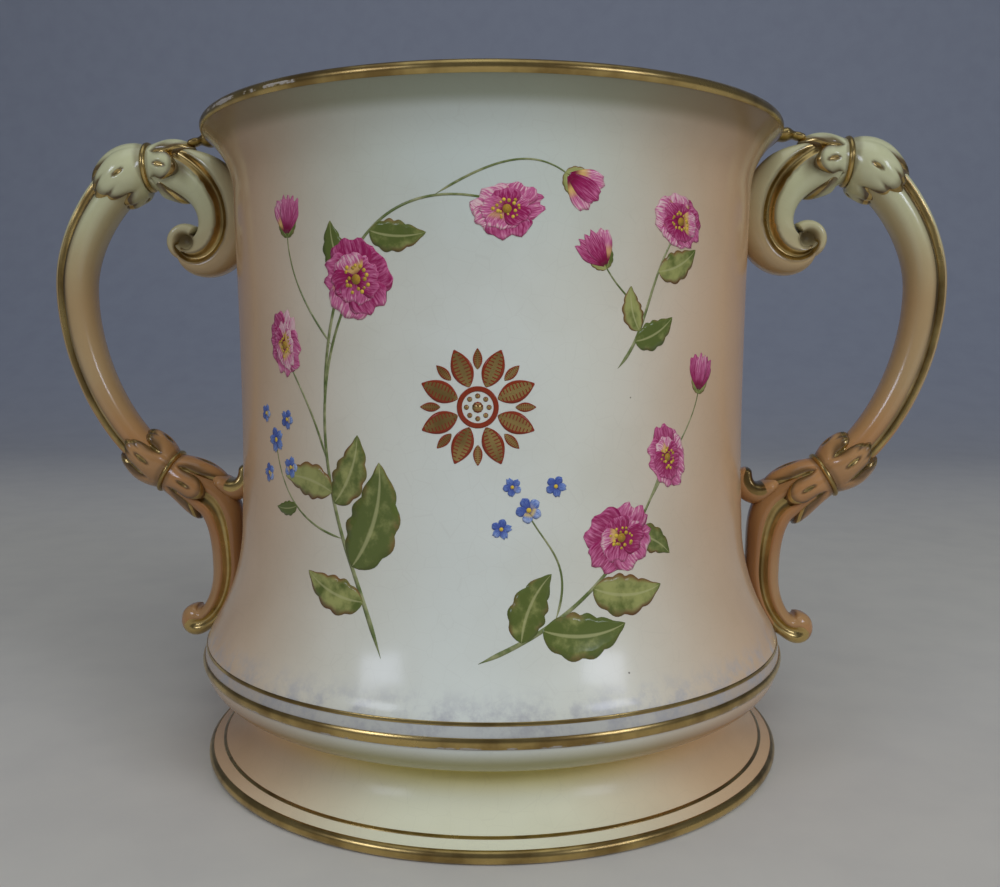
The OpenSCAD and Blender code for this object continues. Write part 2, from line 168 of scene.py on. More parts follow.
def times(tree, a, b):
    return calc(tree, "MULTIPLY", a, b)


def plus(tree, a, b):
    return calc(tree, "ADD", a, b)


def soft_step(tree, value, low, high):
    """0 below low, 1 above high, smooth between. With low above high it falls instead."""
    made = put(tree, "ShaderNodeMapRange", interpolation_type="SMOOTHSTEP")
    feed(tree, value, made.inputs["Value"])
    made.inputs["From Min"].default_value = min(low, high)
    made.inputs["From Max"].default_value = max(low, high)
    made.inputs["To Min"].default_value = 0.0 if low < high else 1.0
    made.inputs["To Max"].default_value = 1.0 if low < high else 0.0
    return made.outputs["Result"]


def blend(tree, share, a, b, mode="MIX"):
    """Mixes two colours, or multiplies the first by the second."""
    made = put(tree, "ShaderNodeMix", data_type="RGBA", blend_type=mode, clamp_factor=True)
    feed(tree, share, made.inputs["Factor"])
    for value, number in zip((a, b), MIX_COLOURS):
        feed(tree, value, made.inputs[number])
    return made.outputs[MIXED_COLOUR]


def mix_values(tree, share, a, b):
    made = put(tree, "ShaderNodeMix", data_type="FLOAT")
    feed(tree, share, made.inputs["Factor"])
    for value, number in zip((a, b), MIX_VALUES):
        feed(tree, value, made.inputs[number])
    return made.outputs[MIXED_VALUE]


# %% Patterns, colours and values from the mesh


def noise(tree, where, scale, detail=3.0, roughness=0.55):
    made = put(tree, "ShaderNodeTexNoise", Scale=scale, Detail=detail, Roughness=roughness)
    tree.links.new(where, made.inputs["Vector"])
    return made.outputs[0]


def tone(r, g, b):
    return (r, g, b, 1.0)


def attribute(tree, name):
    return put(tree, "ShaderNodeAttribute", attribute_name=name).outputs["Fac"]


# %% New materials and groups


def new_material(name):
    """An empty material with its tree, its surface shader and its object coordinates."""
    made = bpy.data.materials.new(name)
    made.use_nodes = True
    tree = made.node_tree
    where = put(tree, "ShaderNodeTexCoord").outputs["Object"]
    return made, tree, tree.nodes["Principled BSDF"], where


def new_group(name, inputs, outputs):
    """A shader node group with named sockets: (name, kind) for each."""
    tree = bpy.data.node_groups.new(name, "ShaderNodeTree")
    for label, kind in inputs:
        tree.interface.new_socket(name=label, in_out="INPUT", socket_type=kind)
    for label, kind in outputs:
        tree.interface.new_socket(name=label, in_out="OUTPUT", socket_type=kind)
    print("node group", name)
    return tree, tree.nodes.new("NodeGroupInput"), tree.nodes.new("NodeGroupOutput")


# %% [markdown]
# ## The skin of the glaze
# Every glazed piece has faint clouds of tone, a few brown specks from the kiln, fine crazing and a
# slightly uneven skin. Each material could hold its own copy of these nodes. They are built once as a
# group instead, and placed in each material with that material's colour and amount of specks.

# %% Glaze group
COLOUR, VALUE = "NodeSocketColor", "NodeSocketFloat"
CLOUD_SCALE, SPECK_SCALE, CRAZE_SCALE, SKIN_SCALE = 34, 420.0, 230.0, 130
SPECK_RARITY = 0.993
CLOUD, CRAZE, SPECK = tone(0.93, 0.92, 0.90), tone(0.25, 0.19, 0.13), tone(0.12, 0.09, 0.06)

glaze_tree, glaze_in, glaze_out = new_group(
    "glaze_skin", [("Color", COLOUR), ("Specks", VALUE)],
    [("Color", COLOUR), ("Roughness", VALUE), ("Height", VALUE)])
g = glaze_tree
place = put(g, "ShaderNodeTexCoord").outputs["Object"]
cloud = noise(g, place, CLOUD_SCALE, 4)
cell = put(g, "ShaderNodeTexVoronoi", Scale=SPECK_SCALE)
g.links.new(place, cell.inputs["Vector"])
pick = put(g, "ShaderNodeSeparateColor")
g.links.new(cell.outputs["Color"], pick.inputs[0])
rare = calc(g, "GREATER_THAN", pick.outputs[0], SPECK_RARITY)
speck = times(g, rare, soft_step(g, cell.outputs["Distance"], 0.13, 0.06))
speck = times(g, speck, glaze_in.outputs["Specks"])
crack = put(g, "ShaderNodeTexVoronoi", feature="DISTANCE_TO_EDGE", Scale=CRAZE_SCALE)
g.links.new(place, crack.inputs["Vector"])
craze = times(g, soft_step(g, crack.outputs["Distance"], 0.022, 0.004), 0.05)
clouded = blend(g, soft_step(g, cloud, 0.35, 0.75), glaze_in.outputs["Color"], CLOUD, "MULTIPLY")
crazed = blend(g, craze, clouded, CRAZE)
g.links.new(blend(g, speck, crazed, SPECK), glaze_out.inputs["Color"])
g.links.new(plus(g, times(g, cloud, 0.10), 0.14), glaze_out.inputs["Roughness"])
g.links.new(noise(g, place, SKIN_SCALE, 2), glaze_out.inputs["Height"])

# %% [markdown]
# ## Rubbed gold
# Fired gold is thin. It rubs through in places, runs from bright to brown, and its edge follows the
# brush. A plain mask would cut it off sharply, so this group breaks up the mask by noise and by long
# scratches, more where the wear is set higher, and gives the gold an uneven colour and shine.

# %% Gold group
BRIGHT_GOLD, DULL_GOLD = tone(0.66, 0.475, 0.175), tone(0.31, 0.20, 0.065)
SCRATCH_SCALE = (60, 60, 900)
RUB_SCALE, DULL_SCALE = 210, 75

gold_tree, gold_in, gold_out = new_group(
    "rubbed_gold", [("Mask", VALUE), ("Wear", VALUE)],
    [("Mask", VALUE), ("Color", COLOUR), ("Roughness", VALUE)])
g = gold_tree
place = put(g, "ShaderNodeTexCoord").outputs["Object"]
rub = noise(g, place, RUB_SCALE, 5, 0.62)
scratch = put(g, "ShaderNodeMapping", vector_type="POINT")
g.links.new(place, scratch.inputs["Vector"])
scratch.inputs["Scale"].default_value = SCRATCH_SCALE
streak = noise(g, scratch.outputs["Vector"], 1.0, 2)
broken = plus(g, times(g, streak, 0.35), times(g, rub, 0.75))
bare = soft_step(g, plus(g, broken, gold_in.outputs["Wear"]), 0.86, 0.93)
kept = calc(g, "SUBTRACT", 1.0, bare)
edge = soft_step(g, plus(g, gold_in.outputs["Mask"], times(g, rub, 0.3)), 0.52, 0.72)
g.links.new(times(g, kept, edge), gold_out.inputs["Mask"])
dull = noise(g, place, DULL_SCALE, 4)
g.links.new(blend(g, soft_step(g, dull, 0.35, 0.68), BRIGHT_GOLD, DULL_GOLD), gold_out.inputs["Color"])
g.links.new(plus(g, times(g, dull, 0.22), 0.19), gold_out.inputs["Roughness"])

# %% [markdown]
# ## Glaze and gold on one shader
# All fired pieces share one surface: a coloured ground under glaze, with gold on top in some places. One
# helper joins both groups to a piece's shader, so a finish only says its colour and where its gold lies.
# What is the same all over the piece, such as the coat, is set on the shader itself, because the export
# needs it there.

# %% Finish helpers
SKIN_BUMP, SKIN_DEPTH = 0.06, 0.0004
GLAZE_SPECULAR, GLAZE_COAT, COAT_ROUGHNESS = 0.25, 0.15, 0.09


def gloss(shader, specular, coat):
    shader.inputs["Specular IOR Level"].default_value = specular
    shader.inputs["Coat Weight"].default_value = coat


def glazed(tree, shader, colour, specks=1.0, gilt=None, wear=0.0):
    """Gives a shader the glaze's skin over a colour, and gold where gilt is set."""
    skin = put(tree, "ShaderNodeGroup", node_tree=glaze_tree)
    feed(tree, colour, skin.inputs["Color"])
    skin.inputs["Specks"].default_value = specks
    out_colour, out_rough = skin.outputs["Color"], skin.outputs["Roughness"]
    if gilt is not None:
        gold = put(tree, "ShaderNodeGroup", node_tree=gold_tree)
        feed(tree, gilt, gold.inputs["Mask"])
        feed(tree, wear, gold.inputs["Wear"])
        mask = gold.outputs["Mask"]
        out_colour = blend(tree, mask, out_colour, gold.outputs["Color"])
        out_rough = mix_values(tree, mask, out_rough, gold.outputs["Roughness"])
        tree.links.new(mask, shader.inputs["Metallic"])
    tree.links.new(out_colour, shader.inputs["Base Color"])
    tree.links.new(out_rough, shader.inputs["Roughness"])
    dent = put(tree, "ShaderNodeBump", Strength=SKIN_BUMP, Distance=SKIN_DEPTH)
    tree.links.new(skin.outputs["Height"], dent.inputs["Height"])
    tree.links.new(dent.outputs["Normal"], shader.inputs["Normal"])
    shader.inputs["Coat Roughness"].default_value = COAT_ROUGHNESS
    gloss(shader, GLAZE_SPECULAR, GLAZE_COAT)


# %% Places on the cup


def axes(tree, where):
    split = put(tree, "ShaderNodeSeparateXYZ")
    tree.links.new(where, split.inputs[0])
    return split.outputs


def sideways(tree, where):
    """A share, 0 at the front and the back of the cup and 1 towards the handles, and the height."""
    x, y, z = axes(tree, where)
    span = calc(tree, "SQRT", plus(tree, times(tree, x, x), times(tree, y, y)))
    return calc(tree, "DIVIDE", calc(tree, "ABSOLUTE", x), calc(tree, "MAXIMUM", span, 0.001)), z


# %% [markdown]
# ## The ground of the body
# The ground is ivory at the front and the back. Peach was dusted on towards the handles. A painted grey
# shade lies on the upper wall and gets dark under the lip, brown at the sides. A grey-lilac wash was
# sponged on round the flange's gilding, and under the flange the ground is a darker olive ochre, partly
# tint and partly painted shade. All this could be painted on an unwrapped picture. But each tint follows
# the place on the cup, so it is worked out from the object's coordinates.

# %% Body glaze
IVORY, PEACH = tone(0.722, 0.735, 0.665), tone(0.62, 0.35, 0.168)
DUSK_SHADE, WARMTH = tone(0.46, 0.53, 0.47), tone(1.0, 0.955, 0.90)
UMBER_SHADE, LIP_SHADE = tone(0.26, 0.18, 0.105), tone(0.61, 0.61, 0.52)
LILAC, STRIP_SHADE = tone(0.44, 0.43, 0.45), tone(0.86, 0.86, 0.86)
UNDER_FRONT, UNDER_SIDE = tone(0.385, 0.35, 0.125), tone(0.40, 0.19, 0.065)
# Where each tint begins and is full, sideways as a share and upwards in metres
BLUSH_SIDE, WARM_SIDE, UMBER_SHADE_SIDE, UNDER_TURN = (0.34, 1.02), (0.04, 0.42), (0.15, 0.90), (0.2, 0.8)
PALER_BELOW, DUSK_SHADE_RISE = (0.075, 0.045), (0.115, 0.150)
UMBER_SHADE_RISE, LIP_RISE = (0.140, 0.163), (0.1565, 0.1595)
WASH_TOP, WASH_END = (0.039, 0.031), (0.0266, 0.0278)
STRIP_TOP, STRIP_END, UNDER_FALL = (0.0316, 0.0306), (0.0250, 0.0262), (0.0262, 0.021)

body_glaze, t, shader, where = new_material("body_glaze")
side, height = sideways(t, where)
outer = attribute(t, "outside")
drift = times(t, noise(t, where, 22, 3), 0.10)
blush = times(t, soft_step(t, plus(t, side, drift), *BLUSH_SIDE), times(t, outer, 0.88))
paler = times(t, soft_step(t, height, *PALER_BELOW), 0.18)
blush = times(t, blush, calc(t, "SUBTRACT", 1.0, paler))
# Painted shade: a grey dusk over the upper wall
dusk_shade = times(t, soft_step(t, height, *DUSK_SHADE_RISE), outer)
ground = blend(t, times(t, dusk_shade, 0.46), IVORY, DUSK_SHADE)
warm = times(t, soft_step(t, side, *WARM_SIDE), outer)
ground = blend(t, warm, ground, WARMTH, "MULTIPLY")
ground = blend(t, blush, ground, PEACH)
# Painted shade, brown towards the sides below the lip
shade = times(t, soft_step(t, height, *UMBER_SHADE_RISE), soft_step(t, side, *UMBER_SHADE_SIDE))
ground = blend(t, times(t, times(t, shade, outer), 0.42), ground, UMBER_SHADE)
# Painted shade in a band right under the lip
lip = times(t, soft_step(t, height, *LIP_RISE), outer)
ground = blend(t, lip, ground, LIP_SHADE, "MULTIPLY")
wash = times(t, soft_step(t, height, *WASH_TOP), soft_step(t, height, *WASH_END))
wash = times(t, wash, soft_step(t, noise(t, where, 190, 6, 0.7), 0.40, 0.68))
ground = blend(t, times(t, times(t, wash, outer), 0.75), ground, LILAC)
strip = times(t, soft_step(t, height, *STRIP_TOP), soft_step(t, height, *STRIP_END))
strip = times(t, strip, outer)
ground = blend(t, times(t, strip, 0.35), ground, LILAC)
ground = blend(t, strip, ground, STRIP_SHADE, "MULTIPLY")
# Under the flange: an olive-ochre tint and painted shade under the overhang
under = times(t, soft_step(t, height, *UNDER_FALL), outer)
under_tint_and_shade = blend(t, soft_step(t, side, *UNDER_TURN), UNDER_FRONT, UNDER_SIDE)
ground = blend(t, times(t, under, 0.85), ground, under_tint_and_shade)
glazed(t, shader, ground)
print("finish:", body_glaze.name)

# %% [markdown]
# ## The ground of the foot
# The foot is cream, with the same peach towards the sides. Its throat, close under the flange, is a
# strong yellow that turns apricot at the sides, and its standing ring is bare porcelain. Again the place
# on the foot gives each tint. The foot has less shine than the wall, so that its hollow shows no window.

# %% Foot glaze
CREAM, BARE = tone(0.79, 0.765, 0.565), tone(0.70, 0.67, 0.60)
OCHRE, APRICOT = tone(0.82, 0.68, 0.17), tone(0.86, 0.50, 0.22)
FOOT_BLUSH_SIDE, THROAT_RISE, BARE_FALL = (0.20, 1.0), (0.0095, 0.0168), (0.0012, 0.0004)

foot_glaze, t, shader, where = new_material("foot_glaze")
side, height = sideways(t, where)
drift = times(t, noise(t, where, 25, 3), 0.12)
blush = soft_step(t, plus(t, side, drift), *FOOT_BLUSH_SIDE)
ground = blend(t, times(t, blush, 0.8), CREAM, PEACH)
throat = blend(t, blush, OCHRE, APRICOT)
ground = blend(t, times(t, soft_step(t, height, *THROAT_RISE), 0.9), ground, throat)
ground = blend(t, soft_step(t, height, *BARE_FALL), ground, BARE)
glazed(t, shader, ground)
gloss(shader, 0.12, 0.05)
print("finish:", foot_glaze.name)

# %% [markdown]
# ## The ground of the handles
# The handles are pale at the top, tan along the bow and terracotta at the bottom, with russet legs. That
# follows the height, blurred by noise. Gold, blush, and a dark brown that is stain and painted shade in
# the hollows and creases follow the moulded leaves and grooves, which no height can tell, so the corners of
# the mesh carry them and the finish reads them as attributes.

# %% Handle glaze
PALE, TAN, TERRACOTTA = tone(0.565, 0.555, 0.335), tone(0.465, 0.315, 0.155), tone(0.46, 0.215, 0.075)
RUSSET, STAIN_AND_SHADE = tone(0.36, 0.15, 0.048), tone(0.105, 0.058, 0.018)
PALE_RISE, CLAY_FALL = (0.120, 0.152), (0.102, 0.078)
RUSSET_TOP, RUSSET_END = (0.070, 0.056), (0.030, 0.044)
HEIGHT_BLUR = 0.012

handle_glaze, t, shader, where = new_material("handle_glaze")
blur = times(t, calc(t, "SUBTRACT", noise(t, where, 60, 3), 0.5), HEIGHT_BLUR)
lift = plus(t, axes(t, where)[2], blur)
ground = blend(t, soft_step(t, lift, *PALE_RISE), TAN, PALE)
ground = blend(t, soft_step(t, lift, *CLAY_FALL), ground, TERRACOTTA)
low = times(t, soft_step(t, lift, *RUSSET_TOP), soft_step(t, lift, *RUSSET_END))
ground = blend(t, times(t, low, 0.8), ground, RUSSET)
ground = blend(t, times(t, attribute(t, "blush"), 0.75), ground, TAN)
# The dark value on the corners is brown stain and painted shade in hollows, creases and the volute's eye
ground = blend(t, times(t, attribute(t, "stain_and_shade"), 0.95), ground, STAIN_AND_SHADE)
glazed(t, shader, ground, gilt=attribute(t, "gilt"), wear=0.10)
gloss(shader, 0.5, 0.35)
print("finish:", handle_glaze.name)

# %% [markdown]
# ## Gilding
# The bands, beads and lugs are gold all over. It has worn where hands and shelves touch the cup: along
# the lower edge of the flange and in a streak at the left of the lip. The wear could be drawn by hand,
# but its places are simple, so they are given by height and side, and the gold's own noise breaks them
# up.

# %% Gilding
STAINED = tone(0.46, 0.41, 0.36)
FLANGE_RUB_TOP, FLANGE_RUB_END = (0.0268, 0.0260), (0.0240, 0.0250)
RIM_RUB_RISE, RIM_RUB_TOP = (0.1627, 0.1633), (0.1642, 0.1637)
RIM_RUB_RIGHT, RIM_RUB_LEFT = (-0.028, -0.042), (-0.074, -0.064)

gilding, t, shader, where = new_material("gilding")
spots = axes(t, where)
across, height = spots[0], spots[2]
flange_rub = times(t, soft_step(t, height, *FLANGE_RUB_TOP), soft_step(t, height, *FLANGE_RUB_END))
rim_rub = times(t, soft_step(t, height, *RIM_RUB_RISE), soft_step(t, height, *RIM_RUB_TOP))
worn_side = times(t, soft_step(t, across, *RIM_RUB_RIGHT), soft_step(t, across, *RIM_RUB_LEFT))
wear = plus(t, times(t, flange_rub, 0.20), times(t, times(t, rim_rub, worn_side), 0.27))
glazed(t, shader, STAINED, gilt=1.0, wear=plus(t, wear, 0.10))
print("finish:", gilding.name)

# %% [markdown]
# ## Sizes of the section
# A potter shapes the cup on a wheel, so half a section says all about it. Its line is a chain of tangent
# arcs: under the flange, over its crown, up the skirt, along the waisted wall, out with the flare and
# round the lip. The height of the cup and the radii of its lip, flange and foot are read from the packed
# parts. Where the arcs meet could be typed in, but it is worked out from the sizes, so that the line has
# no kink.

# %% Sizes of the turned pieces
# In mm: T is a thickness, R a radius, H a height, Z a height above the table
LIP_T, FLARE_R, WALL_T = 3.0, 18.4, 4.0
SHOULDER_R, WAIST_R, SKIRT_TOP_R, WAIST_Z = 68.3, 67.4, 68.0, 88.0
CROWN_R, UNDER_R, SKIRT_R, FLANGE_Z = 14.0, 9.0, 55.0, 27.0
REGISTER_R, REGISTER_H, NECK_R, SEAT_R = 57.9, 2.0, 66.0, 58.0
HOLLOW_R, FOOT_EDGE_R = 68.0, 1.6
BEAD_OUT, BEAD_H, RIM_GILT_T = 0.45, 2.5, 0.1
CUP_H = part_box("cup_body")[1].z / MM
RIM_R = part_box("rim_gilding")[1].x / MM - RIM_GILT_T
FLANGE_EDGE_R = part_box("cup_body")[1].x / MM
FLANGE_R = FLANGE_EDGE_R - BEAD_OUT
FOOT_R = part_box("foot")[1].x / MM
SPIN_STEPS = 176

LIP_R = LIP_T / 2
lip_x, lip_z = RIM_R - LIP_R, CUP_H - LIP_R
flare_x = SHOULDER_R + FLARE_R
flare_z = lip_z - math.sqrt((FLARE_R + LIP_R) ** 2 - (flare_x - lip_x) ** 2)
lip_a = math.degrees(math.atan2(lip_z - flare_z, flare_x - lip_x))
crown_x, under_x = FLANGE_R - CROWN_R, FLANGE_R - UNDER_R
skirt_x = SKIRT_TOP_R + SKIRT_R
skirt_z = FLANGE_Z + math.sqrt((SKIRT_R + CROWN_R) ** 2 - (skirt_x - crown_x) ** 2)
ogee_a = math.degrees(math.atan2(skirt_z - FLANGE_Z, skirt_x - crown_x))
ogee_z = FLANGE_Z + CROWN_R * math.sin(math.radians(ogee_a))
foot_h = FLANGE_Z - UNDER_R
foot_edge_x = FOOT_R - FOOT_EDGE_R
cove_span, cove_drop = foot_edge_x - NECK_R, foot_h - FOOT_EDGE_R
cove_r = (cove_span ** 2 + cove_drop ** 2 - FOOT_EDGE_R ** 2) / (2 * (cove_span + FOOT_EDGE_R))
cove_x = NECK_R + cove_r
cove_a = math.degrees(math.atan2(cove_drop, cove_x - foot_edge_x))


# %% Radius of the cup at a height


def wall_r(z):
    """Radius of the straight part of the wall, narrowest at the waist."""
    edge_r, edge_z = (SHOULDER_R, flare_z) if z > WAIST_Z else (SKIRT_TOP_R, skirt_z)
    return WAIST_R + (edge_r - WAIST_R) * ((z - WAIST_Z) / (edge_z - WAIST_Z)) ** 2


def outer_r(z):
    """Outside radius of the cup at a height."""
    if z > lip_z - LIP_R * math.sin(math.radians(lip_a)):
        return lip_x + math.sqrt(max(0, LIP_R ** 2 - (z - lip_z) ** 2))
    if z > flare_z:
        return flare_x - math.sqrt(FLARE_R ** 2 - (z - flare_z) ** 2)
    if z > skirt_z:
        return wall_r(z)
    if z > ogee_z:
        return skirt_x - math.sqrt(SKIRT_R ** 2 - (skirt_z - z) ** 2)
    if z > FLANGE_Z:
        return crown_x + math.sqrt(CROWN_R ** 2 - (z - FLANGE_Z) ** 2)
    return under_x + math.sqrt(max(0, UNDER_R ** 2 - (z - FLANGE_Z) ** 2))


print("wall from", round(skirt_z, 1), "to", round(flare_z, 1), "mm, lip over", round(lip_a, 1), "degrees")

# %% [markdown]
# ## Tools for turning
# A drawn curve with a Screw modifier could turn these pieces as well. Here bmesh's spin does both jobs.
# With one corner it draws an arc of the section, and with the whole section it makes the turned shape, so
# no list of points is needed. The first helper makes a shape a piece: it sets the faces outward, brings
# millimetres to metres, gives it its finish and hides the imported parts that it stands for.

# %% Making a piece


def add_piece(name, bm, material, nodes=()):
    """Brings a shape to metres and makes it a named piece that rides on the cup."""
    bmesh.ops.recalc_face_normals(bm, faces=bm.faces[:])
    bmesh.ops.scale(bm, vec=(MM, MM, MM), verts=bm.verts[:])
    mesh = bpy.data.meshes.new(name)
    bm.to_mesh(mesh)
    bm.free()
    mesh.materials.append(material)
    mesh.shade_smooth()
    piece = bpy.data.objects.new(name, mesh)
    bpy.context.scene.collection.objects.link(piece)
    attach(piece, "root")
    if nodes:
        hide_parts(*nodes)
    print(name, len(mesh.polygons), "faces")
    return piece


# %% Drawing and turning a section
CREASE = math.radians(40)


def corners_of(parts):
    return [e for e in parts if isinstance(e, bmesh.types.BMVert)]


def line_to(bm, corner, x, z):
    made = bmesh.ops.extrude_vert_indiv(bm, verts=[corner])
    made["verts"][0].co = (x, 0, z)
    return made["verts"][0]


def arc_to(bm, corner, x, z, degrees):
    """Carries a corner round a centre in the XZ plane."""
    made = bmesh.ops.spin(bm, geom=[corner], cent=(x, 0, z), axis=(0, -1, 0),
                          angle=math.radians(degrees), steps=max(4, round(abs(degrees) / 3)))
    return corners_of(made["geom_last"])[0]


def turn_section(bm):
    """Spins the drawn section about the cup's axis."""
    bmesh.ops.spin(bm, geom=bm.verts[:] + bm.edges[:], cent=(0, 0, 0), axis=(0, 0, 1),
                   angle=math.tau, steps=SPIN_STEPS, use_merge=True)
    bmesh.ops.remove_doubles(bm, verts=bm.verts[:], dist=0.0005)


def sharpen(piece):
    """Keeps the edges crisp where two faces meet at a steep angle."""
    piece.data.set_sharp_from_angle(angle=CREASE)


# %% [markdown]
# ## Cup body
# The body is one thin wall. Its line runs from the register that sits in the foot out to the flange, up
# the waisted wall, round the lip and the same way down inside. A solid shape with its inside cut out
# would do too, but drawing both sides in one line keeps the wall even. Each corner is told whether it
# lies outside, so that the blush and the wash stay off the plain inside.

# %% Cup body
WALL_STEPS = 12
floor_z = foot_h + WALL_T
wall_heights = [skirt_z + (flare_z - skirt_z) * i / WALL_STEPS for i in range(1, WALL_STEPS + 1)]
bm = bmesh.new()
outside = bm.verts.layers.float.new("outside")
pen = bm.verts.new((0, 0, foot_h - REGISTER_H))
pen = line_to(bm, pen, REGISTER_R, foot_h - REGISTER_H)
pen = line_to(bm, pen, REGISTER_R, foot_h)
pen = line_to(bm, pen, under_x, foot_h)
pen = arc_to(bm, pen, under_x, FLANGE_Z, 90)
pen = arc_to(bm, pen, crown_x, FLANGE_Z, ogee_a)
pen = arc_to(bm, pen, skirt_x, skirt_z, -ogee_a)
for z in wall_heights:
    pen = line_to(bm, pen, wall_r(z), z)
pen = arc_to(bm, pen, flare_x, flare_z, -lip_a)
pen = arc_to(bm, pen, lip_x, lip_z, 180)
pen = arc_to(bm, pen, flare_x, flare_z, lip_a)
for z in reversed(wall_heights[:-1]):
    pen = line_to(bm, pen, wall_r(z) - WALL_T + (WALL_T - LIP_T) * (z - skirt_z) / (flare_z - skirt_z), z)
pen = line_to(bm, pen, SKIRT_TOP_R - WALL_T, skirt_z)
pen = arc_to(bm, pen, skirt_x, skirt_z, ogee_a)
pen = arc_to(bm, pen, crown_x, FLANGE_Z, -ogee_a)
pen = arc_to(bm, pen, under_x, FLANGE_Z, -90)
pen = line_to(bm, pen, 0, floor_z)
turn_section(bm)
for v in bm.verts:
    v[outside] = 1.0 if v.co.xy.length > outer_r(v.co.z) - LIP_R else 0.0
cup = add_piece("cup_body_turned", bm, body_glaze, ["cup_body"])
sharpen(cup)

# %% [markdown]
# ## Foot
# The foot is a ring of its own: a hollow cove outside, a rounded edge to stand on, a sloping hollow below
# and a seat for the body's register. It could be part of the body's line. But it is luted on as a
# separate ring, so it is a separate piece, and its section is a closed loop.

# %% Foot
bm = bmesh.new()
first = bm.verts.new((NECK_R, 0, foot_h))
pen = arc_to(bm, first, cove_x, foot_h, cove_a)
pen = arc_to(bm, pen, foot_edge_x, FOOT_EDGE_R, -(90 + cove_a))
pen = line_to(bm, pen, HOLLOW_R, 0)
pen = line_to(bm, pen, SEAT_R, foot_h - REGISTER_H - WALL_T)
pen = line_to(bm, pen, SEAT_R, foot_h)
bmesh.ops.contextual_create(bm, geom=[pen, first])
turn_section(bm)
foot = add_piece("foot_turned", bm, foot_glaze, ["foot"])
sharpen(foot)

# %% [markdown]
# ## Gilt bands
# The bands were brushed on over the glaze while the cup turned, and fired on last. They could be a mask
# in the glaze's finish, but gold lies on top of the glaze, so each is a piece with a thickness and edges
# that catch the light: a thin shell over an arc of the section. The flange's band is thicker, a round
# bead that stands proud of the edge.

# %% Bands
GILT_T = 0.09


def gilt_band(name, node, x, z, r, start, end, thickness=GILT_T):
    """A thin turned shell over the arc from start to end. A negative thickness lies on a hollow arc."""
    bm = bmesh.new()
    a, b = math.radians(start), math.radians(end)
    first = bm.verts.new((x + r * math.cos(a), 0, z + r * math.sin(a)))
    pen = arc_to(bm, first, x, z, end - start)
    outer = r + thickness
    pen = line_to(bm, pen, x + outer * math.cos(b), z + outer * math.sin(b))
    pen = arc_to(bm, pen, x, z, start - end)
    bmesh.ops.contextual_create(bm, geom=[pen, first])
    turn_section(bm)
    return add_piece(name, bm, gilding, [node])


# %% All bands
LINE_W, CROWN_LINE_UP, FOOT_LINE_Z = 0.85, 4.0, 4.4
RIM_WRAP, EDGE_WRAP = 150, -45
crown_line_a = math.degrees(math.asin(CROWN_LINE_UP / CROWN_R))
crown_half = math.degrees(LINE_W / 2 / CROWN_R)
foot_line_a = 180 + math.degrees(math.asin((foot_h - FOOT_LINE_Z) / cove_r))
foot_half = math.degrees(LINE_W / 2 / cove_r)
gilt_band("rim_gilding_turned", "rim_gilding", lip_x, lip_z, LIP_R, -lip_a, RIM_WRAP)
gilt_band("flange_line_turned", "flange_gilt_line", crown_x, FLANGE_Z, CROWN_R,
          crown_line_a - crown_half, crown_line_a + crown_half)
bead_r = ((BEAD_H / 2) ** 2 + BEAD_OUT ** 2) / (2 * BEAD_OUT)
bead_a = math.degrees(math.asin(BEAD_H / 2 / bead_r))
bead_x = FLANGE_EDGE_R + GILT_T - bead_r
gilt_band("flange_band_turned", "flange_gilt_band", bead_x, FLANGE_Z, bead_r - BEAD_OUT,
          -bead_a, bead_a, BEAD_OUT)
gilt_band("foot_line_turned", "foot_gilt_line", cove_x, foot_h, cove_r,
          foot_line_a - foot_half, foot_line_a + foot_half, -GILT_T)
gilt_band("foot_band_turned", "foot_gilt_band", foot_edge_x, FOOT_EDGE_R, FOOT_EDGE_R, EDGE_WRAP, cove_a)

# %% [markdown]
# ## Tools for sweeping the handles
# Each handle was moulded and luted on. Its pieces are bars of changing width, so each is a sweep: a ring
# of corners is extruded from station to station along a path, and each new ring is set in its place. A
# curve with a bevel would be quicker, but it can't carry leaves and grooves. The corners also carry how
# much gold, blush, and brown stain with painted shade they have, and the handle's glaze reads that.

# %% Sweep tools
FLOAT_LAYERS = ("turn", "gilt", "stain_and_shade", "blush")


def new_shape(layers=FLOAT_LAYERS):
    """An empty shape whose corners can carry the named values."""
    bm = bmesh.new()
    for name in layers:
        bm.verts.layers.float.new(name)
    return bm


def sweep(bm, corners, stations, place):
    """Extrudes a ring along the stations. place(station, turn) gives a point and its gilt,
    its stain and painted shade, and its blush."""
    turn, *paints = [bm.verts.layers.float[name] for name in FLOAT_LAYERS]
    ring = bmesh.ops.create_circle(bm, segments=corners, radius=1)["verts"]
    for v in ring:
        v[turn] = math.atan2(v.co.y, v.co.x)
    loop = list({e for v in ring for e in v.link_edges})
    bmesh.ops.contextual_create(bm, geom=loop)
    for number, station in enumerate(stations):
        if number:
            made = bmesh.ops.extrude_edge_only(bm, edges=loop)["geom"]
            ring = corners_of(made)
            loop = [e for e in made if isinstance(e, bmesh.types.BMEdge)]
        for v in ring:
            point, *values = place(station, v[turn])
            v.co = point
            for layer, value in zip(paints, values):
                v[layer] = value
    bmesh.ops.contextual_create(bm, geom=loop)


# %% Directions, steps and curves


def aim(degrees):
    return Vector((math.cos(math.radians(degrees)), math.sin(math.radians(degrees))))


def lerp(a, b, t):
    return a + (b - a) * t


def steps(low, high, count):
    return [lerp(low, high, i / count) for i in range(count + 1)]


def bump_at(value, centre, width):
    """A soft bump of height 1 about a centre."""
    return math.exp(-((value - centre) / width) ** 2)


def ease(value, low, high):
    t = min(1, max(0, (value - low) / (high - low)))
    return t * t * (3 - 2 * t)


def curve(points, t):
    a, b, c, d = points
    return (1 - t) ** 3 * a + 3 * (1 - t) ** 2 * t * b + 3 * (1 - t) * t * t * c + t ** 3 * d


